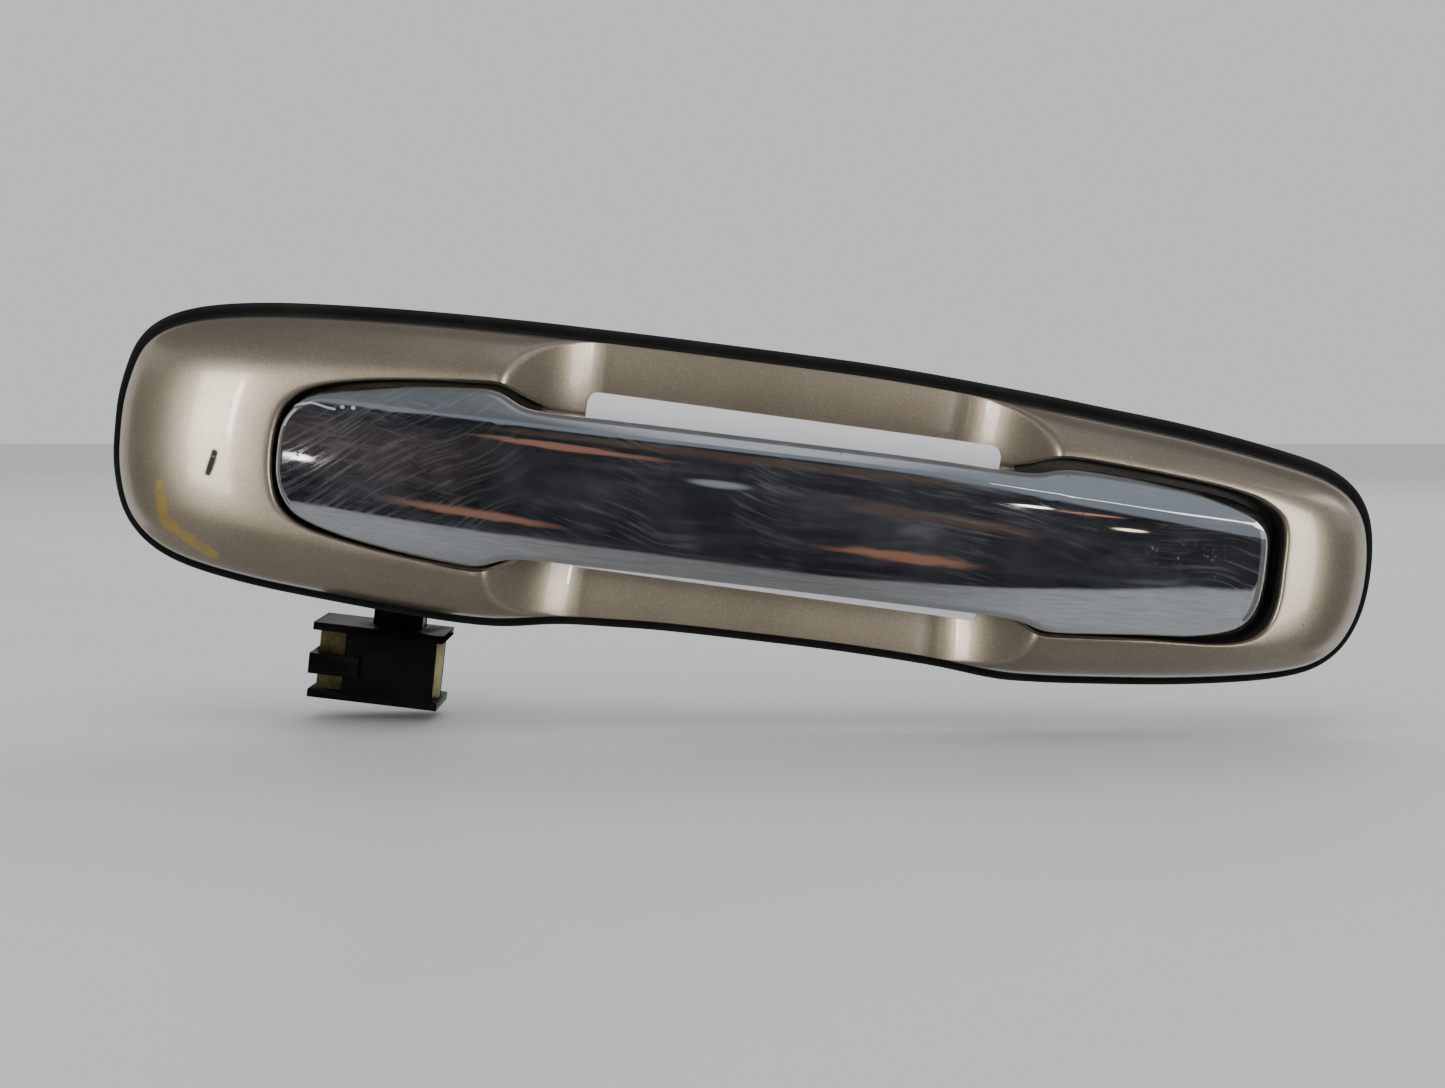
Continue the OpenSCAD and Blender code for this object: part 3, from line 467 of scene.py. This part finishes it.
def chrome():
    """Bright plating with wiping marks, pits, dried residue and a thin grime."""
    plate = (0.62, 0.64, 0.67)
    m, sockets, n = material("chrome_plate", plate, 1.0, 0.05)
    wear = n.noise(30, 6, rough=0.65)
    bend = n.mix(1.0, n.noise(20, 2), (0.016, 0.0, 0.016), "MULTIPLY")

    def bundle(angle, at, *stops):
        """Bent bundles of fine lines at an angle to the strap's length, in degrees."""
        bent = n.mix(1.0, n.mapped(at=at, turn=(0, math.radians(angle), 0)), bend, "ADD")
        return n.ramp(n.noise(1600, 2, n.mapped((0.055, 0.055, 1.0), vec=bent), 0.6), *stops)

    # wiping marks: slanted near the pull end, nearly lengthwise elsewhere
    near_pull = n.step(n.xyz()[0], -0.035, -0.060)
    slant = n.times(bundle(32, (0.01, 0, 0), (0.50, 0.0), (0.64, 1.0)), near_pull)
    sweep = n.times(bundle(-8, (0, 0, 0.02), (0.52, 0.0), (0.66, 1.0)),
                    n.ramp(wear, (0.44, 0.0), (0.60, 1.0)))
    wipe = n.most(slant, sweep)
    pits = n.ramp(n.voronoi(330), (0.04, 1.0), (0.075, 0.0))
    pits = n.times(pits, n.ramp(n.noise(24, 2), (0.53, 0.0), (0.66, 1.0)))
    # dried white residue near the pull end: a run in two strokes, then two dots
    mark = n.most(n.streak((-91, 9.5), (-86, 10.8), 0.35, 2.0),
                  n.streak((-86, 10.8), (-81, 10), 0.3, 2.5))
    dots = n.most(n.streak((-79.6, 10.6), (-79.4, 10.6), 0.5),
                  n.streak((-77.4, 10.7), (-77.2, 10.7), 0.5))
    mark = n.times(n.most(mark, dots), 0.7)
    film = n.most(n.times(wipe, 0.3), mark)
    rough = n.times_plus(film, 0.30, 0.035)
    n.link(n.plus(rough, n.times(pits, 0.3)), sockets["Roughness"])
    base = n.mix(pits, plate, (0.10, 0.09, 0.08))
    base = n.mix(mark, base, (0.85, 0.86, 0.87))
    n.link(base, sockets["Base Color"])
    # what dulls the plating: grime, wiping marks, residue, and crumbs at the hinge end
    grime = n.times_plus(n.ramp(n.noise(46, 6, rough=0.7), (0.40, 0.0), (0.72, 1.0)), 0.05, 0.012)
    crumbs = n.times(n.ramp(n.voronoi(1100), (0.20, 1.0), (0.32, 0.0)),
                     n.streak((78, 3), (90, 0), 6.5, 3.0, 1.0))
    crumbs = n.times(crumbs, n.ramp(n.noise(500, 2), (0.48, 0.0), (0.60, 1.0)))
    veil = n.plus(n.times(wipe, 0.085), grime)
    veil = n.most(veil, n.most(mark, n.times(crumbs, 0.28)))
    n.link(n.minus(1.0, veil), sockets["Metallic"])
    n.link(n.bump(n.minus(n.times(film, 0.3), pits), 0.03, 0.00003), sockets["Normal"])
    return m


def moulded(name, base, rough, grain, strength, dust, specular=0.5):
    """Moulded plastic or rubber: fine texture, uneven gloss, dust in clouds."""
    m, sockets, n = material(name, base, 0.0, rough)
    sockets["Specular IOR Level"].default_value = specular
    cloud = n.ramp(n.noise(60, 5, rough=0.65), (0.5, 0.0), (0.8, 1.0))
    pale = tuple(min(v + 0.10, 0.9) for v in base)
    n.link(n.mix(n.times(cloud, dust * 2), base, pale), sockets["Base Color"])
    n.link(n.times_plus(n.noise(110, 3), 0.2, rough - 0.1), sockets["Roughness"])
    n.link(n.bump(n.noise(grain, 3), strength, 0.00006), sockets["Normal"])
    return m


def plated(name, base, rough=0.32, other=None, stain=0.4, metallic=1.0):
    """Plated steel: drawn lines, and blotches of the passivation in another colour."""
    m, sockets, n = material(name, base, metallic, rough)
    blotch = n.noise(130, 6, rough=0.7, distortion=0.6)
    other = other or tuple(v * 0.55 for v in base)
    stained = n.times(n.ramp(blotch, (0.42, 0.0), (0.66, 1.0)), stain)
    n.link(n.mix(stained, base, other), sockets["Base Color"])
    drawn = n.noise(900, 3, n.mapped((0.05, 1, 1)))
    uneven = n.times_plus(drawn, 0.12, rough - 0.15)
    n.link(n.plus(n.times(blotch, 0.25), uneven), sockets["Roughness"])
    n.link(n.bump(drawn, 0.25, 0.00004), sockets["Normal"])
    return m


def paper():
    """Matt white label paper with a fibre texture."""
    m, sockets, n = material("white_paper", (0.72, 0.71, 0.75), 0.0, 0.55)
    fibre = n.noise(520, 6, rough=0.75)
    cloud = n.ramp(n.noise(34, 4), (0.4, 0.0), (0.75, 1.0))
    n.link(n.mix(cloud, (0.74, 0.73, 0.78), (0.66, 0.65, 0.69)), sockets["Base Color"])
    n.link(n.bump(fibre, 0.25, 0.00004), sockets["Normal"])
    n.link(n.times_plus(fibre, 0.2, 0.42), sockets["Roughness"])
    return m


PAINT = paint()
CHROME = chrome()
RUBBER = moulded("black_rubber", (0.016, 0.016, 0.015), 0.68, 700, 0.35, 0.06, 0.22)
MATERIALS = {
    "tan_paint": PAINT,
    "chrome_plate": CHROME,
    "black_rubber": RUBBER,
    "black_plastic": moulded("black_plastic", (0.006, 0.006, 0.006), 0.45, 1100, 0.20, 0.03, 0.22),
    "grey_plastic": moulded("grey_plastic", (0.030, 0.031, 0.034), 0.45, 1000, 0.22, 0.08),
    "ivory_plastic": moulded("ivory_plastic", (0.60, 0.57, 0.48), 0.40, 800, 0.10, 0.05),
    "zinc_steel": plated("zinc_steel", (0.55, 0.56, 0.58)),
    "spring_steel": plated("spring_steel", (0.30, 0.30, 0.31), 0.30),
    "yellow_zinc": plated("yellow_zinc", (0.36, 0.33, 0.14), 0.42, (0.07, 0.065, 0.025), 0.95, 0.8),
    "white_paper": paper(),
}
SHADE = moulded("pocket_shade", (0.020, 0.018, 0.016), 0.5, 600, 0.2, 0.05)


# ---------------------------------------------------------------- CAD nodes that keep their shape
# width of the rounded edges, in millimetres
BEVEL = {"mounting_chassis": 0.5, "bell_crank": 0.45, "pull_leg": 0.4, "hinge_foot": 0.4,
         "counterweight": 0.5, "rest_bumpers": 0.3, "leg_damper": 0.3, "rod_clip": 0.25,
         "mounting_studs": 0.25, "strap_screws": 0.15, "chassis_screws": 0.15, "hinge_pin": 0.25,
         "crank_pin": 0.25, "hinge_bushings": 0.06}
for part in frame["record"]["subparts"]:
    name = part["node"]
    ob = frame["nodes"][name]
    ob.data.materials.clear()
    ob.data.materials.append(MATERIALS[part["material_slot"]])
    if name in BEVEL:
        weld = ob.modifiers.new("weld", "WELD")
        weld.merge_threshold = 2e-6
        bevel = ob.modifiers.new("bevel", "BEVEL")
        bevel.width = BEVEL[name] * MM
        bevel.segments = 3
        bevel.limit_method = "ANGLE"
        bevel.angle_limit = math.radians(32)
        bevel.harden_normals = True
    for face in ob.data.polygons:
        face.use_smooth = True


# ---------------------------------------------------------------- the cover
RIM_R = 0.9          # rounding of the pocket's rim
SEAT_H = 2.2         # underside of the outer edge, which sits on the gasket
SEAT_W = 2.2         # width of that edge
INNER_EDGE = 3.0     # where the inner side starts, in from the outline
INNER_POCKET = 2.8   # and where it ends, out from the pocket
OPENINGS = [((-81.5, -54.5), (-12, 0), (-8, 8)), ((86, 101.5), (-12, 0), (-9.4, 9.4))]
BOSSES = ((-104, 9.5), (-104, -9.5), (112, 9.5), (112, -9.5))
BOSS_R = 3.2
BOSS_FOOT = 4.3      # height of the bosses' ends, just clear of the chassis
BOSS_EASE = 0.2      # chamfer at their ends
PILOT_R = 1.55       # pilot hole of the chassis screws
PILOT_TOP = 9.6      # and its blind end
SHADE_MARGIN = 0.8   # how far past the pocket's rim a face of its wall may lie
SHADE_TOP = 12.8     # height of the highest shaded face
SHADE_UNDER = 1.2    # how far a shaded face lies below the scoop's surface


def make_cover():
    """The cover as one closed skin, from the pocket's floor over the outside to the inner side."""
    rim = cover_h(1.0, POCKET)
    corner = inset(POCKET, 0.6)
    foot = inset(POCKET, 0.25)
    foot_h = np.minimum(floor_h(foot), rim - 0.02)
    deep = np.clip((rim - foot_h) / 3, 0, 1)
    loops = [space(corner, np.minimum(floor_h(corner), rim - 0.02)),
             space(foot, foot_h + 0.15 * deep),
             space(inset(POCKET, 0.1), foot_h + (rim - foot_h) * 0.5)]
    # the rounded rim of the pocket, in steps of 18 degrees
    for k in range(5):
        a = math.radians(18 * k)
        back = RIM_R * (1 - math.cos(a)) / SPAN * deep
        loops.append(space(at(1 - back), rim - RIM_R * (1 - math.sin(a)) * deep))
    # the outer face, in closer steps near the outline, where it turns over
    for f in (*np.linspace(0.95, 0.1, 34), 0.07, 0.045, 0.028, 0.016, 0.008, 0.003):
        q = at(f)
        loops.append(space(q, cover_h(f, q)))
    loops.append(space(OUTLINE, EDGE_H - 0.1))
    loops.append(space(OUTLINE, SEAT_H + 0.05))
    loops.append(space(inset(OUTLINE, 0.15), SEAT_H))
    loops.append(space(at(SEAT_W / SPAN), SEAT_H))
    # the inner side
    for t in (0.0, 0.1, 0.3, 0.55, 0.8):
        f = INNER_EDGE / SPAN * (1 - t) + (1 - INNER_POCKET / SPAN) * t
        q = at(f)
        loops.append(space(q, soft_min(pad(f), scoop(q[:, 0], q[:, 1]), CREST) - WALL))
    q = at(1 - INNER_POCKET / SPAN)
    loops.append(space(q, cover_h(0.85, q) - WALL))
    for out, lift in ((2.6, 0.2), (2.3, 0.0)):
        q = at(1 - out / SPAN)
        loops.append(space(q, floor_h(q) - WALL + lift))
    return skin("painted_cover", loops, floor_h, lambda p: floor_h(p) - WALL, 30)


def in_pocket(centre):
    """True for the faces of the two pockets' floors and walls, under the strap's ends."""
    x, h, z = centre[0] / MM, -centre[1] / MM, centre[2] / MM
    near = POCKET[np.argmin(np.hypot(POCKET[:, 0] - x, POCKET[:, 1] - z))]
    # Z counts three times, because the pocket is long and low
    inward = np.hypot(x, z * 3) < np.hypot(near[0], near[1] * 3) + SHADE_MARGIN
    surface = float(scoop(np.array([x]), np.array([z]))[0])
    return inward and h < SHADE_TOP and surface > h + SHADE_UNDER


def cut_openings(ob, boxes):
    """Cuts boxes, given by their ranges in X, Y and Z, out of an object."""
    for box in boxes:
        bm = bmesh.new()
        bmesh.ops.create_cube(bm, size=1)
        me = bpy.data.meshes.new("cutter")
        for v in bm.verts:
            v.co = Vector([(lo + hi) / 2 + c * (hi - lo) for (lo, hi), c in zip(box, v.co)]) * MM
        bm.to_mesh(me)
        bm.free()
        cutter = link(bpy.data.objects.new("cutter", me))
        opening = ob.modifiers.new("opening", "BOOLEAN")
        opening.object = cutter
        opening.solver = "EXACT"
        bpy.context.view_layer.objects.active = ob
        bpy.ops.object.modifier_apply(modifier=opening.name)
        bpy.data.objects.remove(cutter)


def boss(x, z):
    """One screw boss under the cover, with its pilot hole."""
    angles = np.linspace(0, 2 * np.pi, 40, endpoint=False)
    top = float(min(11.5, scoop(np.array([x]), np.array([z]))[0] - 1))
    rows = [(PILOT_R, PILOT_TOP), (PILOT_R, BOSS_FOOT + BOSS_EASE), (PILOT_R + BOSS_EASE, BOSS_FOOT),
            (BOSS_R - BOSS_EASE, BOSS_FOOT), (BOSS_R, BOSS_FOOT + BOSS_EASE), (BOSS_R, top)]
    co = [(x + r * math.cos(a), -h, z + r * math.sin(a)) for r, h in rows for a in angles]
    n = len(angles)
    faces = [(j * n + i, j * n + (i + 1) % n, (j + 1) * n + (i + 1) % n, (j + 1) * n + i)
             for j in range(len(rows) - 1) for i in range(n)]
    faces.append(tuple(range(n)))
    ob = solid("boss", co, faces)
    ob.data.materials.append(PAINT)
    return ob


def join(main, others):
    bpy.ops.object.select_all(action="DESELECT")
    for ob in [main, *others]:
        ob.select_set(True)
    bpy.context.view_layer.objects.active = main
    bpy.ops.object.join()


cover = make_cover()
cover.data.materials.append(PAINT)
cover.data.materials.append(SHADE)
for face in cover.data.polygons:
    # only outward and sideways faces more than 5 mm out from the door skin
    if face.center[1] < -0.005 and face.normal[1] < 0.2 and in_pocket(face.center):
        face.material_index = 1
cut_openings(cover, OPENINGS)
join(cover, [boss(x, z) for x, z in BOSSES])
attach(cover, "housing")
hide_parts("escutcheon")


# ---------------------------------------------------------------- gasket
LIP_TOP = 0.42  # how much more of the lip shows along the upper side
# cross-section of the seal: distance in from the outline (below 0: outside it) and height
SEAL = ((1.85, 0.02), (1.9, 0.3), (1.9, 2.0), (1.8, 2.18), (-0.15, 2.18), (-0.3, 1.95),
        (-0.6, 1.85), (-0.95, 2.1), (-1.4, 2.12), (-1.75, 1.85), (-1.9, 1.4), (-1.9, 0.35),
        (-1.5, 0.02), (-0.4, 0.02), (-0.1, 0.25), (1.2, 0.25), (1.5, 0.02), (1.85, 0.02))


def make_gasket():
    out = OUTLINE - inset(OUTLINE, 1.0)
    wide = 1 + LIP_TOP * np.maximum(out[:, 1], 0)
    loops = []
    for d, h in SEAL:
        reach = -d * (wide if d < 0 else np.ones(N))
        loops.append(space(OUTLINE + out * reach[:, None], h))
    return skin("seal_ring", loops)


gasket = make_gasket()
gasket.data.materials.append(RUBBER)
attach(gasket, "housing")
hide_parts("perimeter_gasket")


# ---------------------------------------------------------------- strap
# rings of the face, by their distance in from the edge, closest where the edge rolls over
FACE_RINGS = (5.0, 4.2, 3.5, 3.0, 2.5, 2.0, 1.6, 1.4, 1.15, 0.9, 0.65, 0.42, 0.24, 0.11, 0.03, 0.0)


def make_strap():
    """The strap's shell: its face, its side wall down to the rim, and a lip turned inwards."""
    loops = []
    for d in FACE_RINGS:
        q = inset(STRAP, d)
        loops.append(space(q, strap_h(q, d)))
    side = strap_h(STRAP, 0.0) - 0.4
    rim = rim_h(STRAP[:, 0])
    for s in (0, 0.35, 0.7, 0.92):
        loops.append(space(STRAP, side + (rim + 0.35 - side) * s))
    for d, lift in ((0.05, 0.15), (0.25, 0.01), (0.6, 0.01), (0.9, 0.5)):
        loops.append(space(inset(STRAP, d), rim + lift))
    return skin("chromed_strap", loops, lambda p: strap_h(p, FACE_RINGS[0]), None, 30)


strap = make_strap()
strap.data.materials.append(CHROME)
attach(strap, "strap")
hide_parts("strap_shell")

# ---------------------------------------------------------------- camera (metres from here on)
ELEVATION = math.radians(5.5)
ROLL_ANGLE = math.radians(6.7)
DISTANCE = 0.400
target = Vector((-0.0036, 0, -0.0089))
look = Vector((0, math.cos(ELEVATION), -math.sin(ELEVATION)))
level = Vector((1, 0, 0))
upright = Vector((0, math.sin(ELEVATION), math.cos(ELEVATION)))
right = level * math.cos(ROLL_ANGLE) + upright * math.sin(ROLL_ANGLE)
up = upright * math.cos(ROLL_ANGLE) - level * math.sin(ROLL_ANGLE)
lens = bpy.data.cameras.new("camera")
lens.lens = 49.13
lens.sensor_width = 36
lens.clip_start = 0.01
camera = link(bpy.data.objects.new("camera", lens))
placed = Matrix((right, up, -look)).transposed().to_4x4()
placed.translation = target - look * DISTANCE
camera.matrix_world = placed
bpy.context.scene.camera = camera


# ---------------------------------------------------------------- floor and lights
def card(name, corners):
    """One flat piece of the stage through four corners."""
    me = bpy.data.meshes.new(name)
    me.from_pydata([tuple(c) for c in corners], [], [(0, 1, 2, 3)])
    ob = link(bpy.data.objects.new(name, me))
    return ob


# the floor follows the camera's roll, so it reads level, and passes just under the lowest point
FLOOR_TILT = math.radians(4)
FLOOR_HALF = 3.0
floor_up = (up * math.cos(FLOOR_TILT) - look * math.sin(FLOOR_TILT)).normalized()
lowest = Vector((-0.0605, 0.012, -0.0530))
middle = lowest - floor_up * 0.0004
across = (right - floor_up * right.dot(floor_up)).normalized() * FLOOR_HALF
deep = floor_up.cross(across)
floor = card("floor", [middle - across - deep, middle + across - deep,
                       middle + across + deep, middle - across + deep])
pale, pale_sockets, n = material("pale_floor", (0.60, 0.61, 0.61), 0.0, 0.55)
cloud = n.ramp(n.noise(6, 4), (0.35, 0.0), (0.7, 1.0))
n.link(n.mix(cloud, (0.70, 0.71, 0.71), (0.75, 0.755, 0.75)), pale_sockets["Base Color"])
floor.data.materials.append(pale)
floor.visible_glossy = False


def area(name, at, size, power, colour=(1, 1, 1)):
    """A square area light that looks at the origin."""
    light = bpy.data.lights.new(name, "AREA")
    light.energy = power
    light.color = colour
    light.size = size
    ob = link(bpy.data.objects.new(name, light))
    ob.location = at
    ob.rotation_euler = (-Vector(at)).to_track_quat("-Z", "Y").to_euler()
    return ob


area("key", (-0.20, -0.35, 1.0), 0.6, 2.6, (1.0, 0.99, 0.97)).visible_glossy = False
area("back", (0.1, 0.9, 0.8), 0.8, 4.0).visible_glossy = False

# windows that only the cover and the label get light from: one broad and soft to either side,
# a small bright core in each, and two slim ones for the ramps
painted = bpy.data.collections.new("painted")
painted.objects.link(cover)
painted.objects.link(frame["nodes"]["paper_label"])
WINDOW_DISTANCE = 0.88
# degrees to the right, height, size up and down, size across, watts
WINDOWS = ((-37, 0.02, 0.34, 0.22, 3.4), (34, 0.05, 0.38, 0.38, 3.8),
           (-31, 0.03, 0.16, 0.02, 0.55), (24, 0.05, 0.05, 0.04, 0.45),
           (9, 0.0, 0.8, 0.012, 0.22), (-10, 0.0, 0.8, 0.012, 0.22))
for i, (turn, height, high, wide, power) in enumerate(WINDOWS):
    a = math.radians(turn)
    place = (WINDOW_DISTANCE * math.sin(a), -WINDOW_DISTANCE * math.cos(a), height)
    window = area("window_%d" % i, place, wide, power, (1.0, 1.0, 0.965))
    window.data.shape = "RECTANGLE"
    window.data.size_y = high
    window.light_linking.receiver_collection = painted


# ---------------------------------------------------------------- what the plating mirrors
GROUND_Z = -1.1
FRONT_Y = -0.9
WALL_X = 1.5


def mirror_card(name, corners):
    """A glowing card that only reflections see, with its nodes and the sockets of its glow."""
    ob = card(name, corners)
    ob.visible_camera = False
    ob.visible_diffuse = False
    ob.visible_shadow = False
    ob.visible_transmission = False
    m = bpy.data.materials.new(name)
    m.use_nodes = True
    m.node_tree.nodes.clear()
    n = Nodes(m.node_tree)
    emission = n.add("ShaderNodeEmission")
    output = n.add("ShaderNodeOutputMaterial")
    n.link(emission.outputs[0], output.inputs["Surface"])
    ob.data.materials.append(m)
    return n, emission.inputs


def ground_tone(n, x):
    """Grey of the ground by its X: paler at both ends, with stains."""
    shade = n.mix(n.step(x, -0.80, -0.1), (0.37, 0.38, 0.38), (0.23, 0.23, 0.22))
    shade = n.mix(n.step(x, 0.15, 0.7), shade, (0.43, 0.45, 0.46))
    stains = n.ramp(n.noise(16, 6, None, 0.7), (0.35, 0.74), (0.65, 1.12))
    return n.mix(1.0, shade, stains, "MULTIPLY")


def ceiling():
    """Overhead, brightest in the middle."""
    n, sockets = mirror_card("ceiling", [(-2.2, -1.3, 1.2), (2.2, -1.3, 1.2), (2.2, 1.8, 1.2),
                                         (-2.2, 1.8, 1.2)])
    x, y, _ = n.xyz()
    tone = n.mix(n.step(x, -0.45, -0.05), (0.16, 0.17, 0.18), (0.62, 0.64, 0.66))
    tone = n.mix(n.step(x, 0.10, 0.42), tone, (0.30, 0.33, 0.36))
    tone = n.mix(n.step(y, 0.22, 0.55), tone, (0.15, 0.15, 0.15))
    n.link(tone, sockets["Color"])


def ground():
    n, sockets = mirror_card("ground", [(-2.2, FRONT_Y, GROUND_Z), (2.2, FRONT_Y, GROUND_Z),
                                        (2.2, 1.4, GROUND_Z), (-2.2, 1.4, GROUND_Z)])
    n.link(ground_tone(n, n.xyz()[0]), sockets["Color"])


def side_wall(side):
    """Dim beside the handle, and bright behind the door skin."""
    x = WALL_X * side
    n, sockets = mirror_card("side_wall", [(x, FRONT_Y, GROUND_Z), (x, 1.2, GROUND_Z), (x, 1.2, 0.25),
                                           (x, FRONT_Y, 0.25)])
    dim = n.ramp(n.noise(3, 3), (0.3, (0.13, 0.13, 0.12)), (0.7, (0.20, 0.20, 0.19)))
    n.link(n.mix(n.step(n.xyz()[1], 0.02, 0.16), dim, (0.95, 0.97, 1.0)), sockets["Color"])


def strip(name, corners):
    """Part of the slim light that draws the bright line along the strap's upper crease."""
    _, sockets = mirror_card(name, corners)
    sockets["Color"].default_value = (1.0, 1.0, 1.0, 1)
    sockets["Strength"].default_value = 3.0


# patches of light in the dim room: centre and half sizes in X and Z, colour, slope, ragged or not
PATCHES = (
    ((-0.75, 0.05), (0.40, 0.30), (0.06, 0.045, 0.04), 0.0, True),
    ((-0.32, 0.27), (0.22, 0.055), (0.36, 0.17, 0.11), -0.12, True),
    ((-0.48, -0.31), (0.20, 0.065), (0.32, 0.155, 0.095), -0.10, True),
    ((0.24, -0.215), (0.16, 0.050), (0.34, 0.15, 0.09), -0.10, True),
    ((0.30, 0.02), (0.22, 0.05), (0.10, 0.06, 0.05), -0.15, True),
    ((-0.063, 0.08), (0.060, 0.036), (0.30, 0.32, 0.33), 0.0, False),
    ((-0.86, -0.09), (0.050, 0.022), (7.0, 6.65, 5.95), 0.0, False),
    ((0.45, 0.215), (0.045, 0.016), (7.0, 6.51, 5.6), 0.0, False),
    ((0.56, 0.20), (0.09, 0.016), (0.70, 0.35, 0.20), 0.0, False),
    ((0.64, 0.085), (0.045, 0.014), (4.0, 3.0, 1.8), 0.0, False),
    ((-0.05, 0.44), (0.55, 0.10), (0.085, 0.055, 0.04), -0.05, True),
)


def dim_room():
    """The room in front of the handle: dark, with warm patches, pale below a sill and above a lintel."""
    n, sockets = mirror_card("dim_room", [(-1.9, FRONT_Y, -1.6), (1.9, FRONT_Y, -1.6), (1.9, FRONT_Y, 1.2),
                                          (-1.9, FRONT_Y, 1.2)])
    x, _, z = n.xyz()
    murk = n.noise(2.6, 6, n.mapped((1.0, 1.0, 1.5), (0.3, 0, 0.2)), 0.62, 0.8)
    tone = n.ramp(murk, (0.30, (0.006, 0.006, 0.007)), (0.50, (0.018, 0.019, 0.023)),
                  (0.62, (0.042, 0.043, 0.050)), (0.75, (0.13, 0.135, 0.145)))
    for centre, half, colour, slope, ragged in PATCHES:
        dx = n.minus(x, centre[0])
        dz = n.minus(n.minus(z, centre[1]), n.times(dx, slope))
        if ragged:
            dz = n.plus(dz, n.times(n.minus(n.noise(14, 4), 0.5), half[1] * 1.6))
        off = n.length(n.over(dx, half[0]), n.over(dz, half[1]))
        tone = n.mix(n.step(off, 1.0, 0.45), tone, colour)
    wavy = n.plus(z, n.times(n.minus(n.noise(5, 4), 0.5), 0.10))
    sill = n.times_plus(n.step(x, 0.10, 0.95), 0.33, -0.56)
    lintel = n.times_plus(n.step(x, 0.10, 0.75), -0.36, 0.60)
    tone = n.mix(n.step(n.minus(sill, wavy), -0.02, 0.05), tone, ground_tone(n, x))
    tone = n.mix(n.step(n.minus(wavy, lintel), -0.03, 0.07), tone, (0.24, 0.27, 0.30))
    n.link(tone, sockets["Color"])


ceiling()
ground()
side_wall(-1)
side_wall(1)
strip("strip", [(0.36, -0.68, 0.61), (0.69, -0.37, 0.60), (0.69, -0.37, 0.655), (0.36, -0.68, 0.645)])
strip("strip_end", [(0.69, -0.37, 0.56), (0.80, 0.10, 0.30), (0.80, 0.10, 0.72), (0.69, -0.37, 0.675)])
dim_room()

world = bpy.data.worlds.new("studio")
bpy.context.scene.world = world
world.use_nodes = True
background = world.node_tree.nodes["Background"].inputs
background["Color"].default_value = (0.80, 0.82, 0.83, 1)
background["Strength"].default_value = 0.85
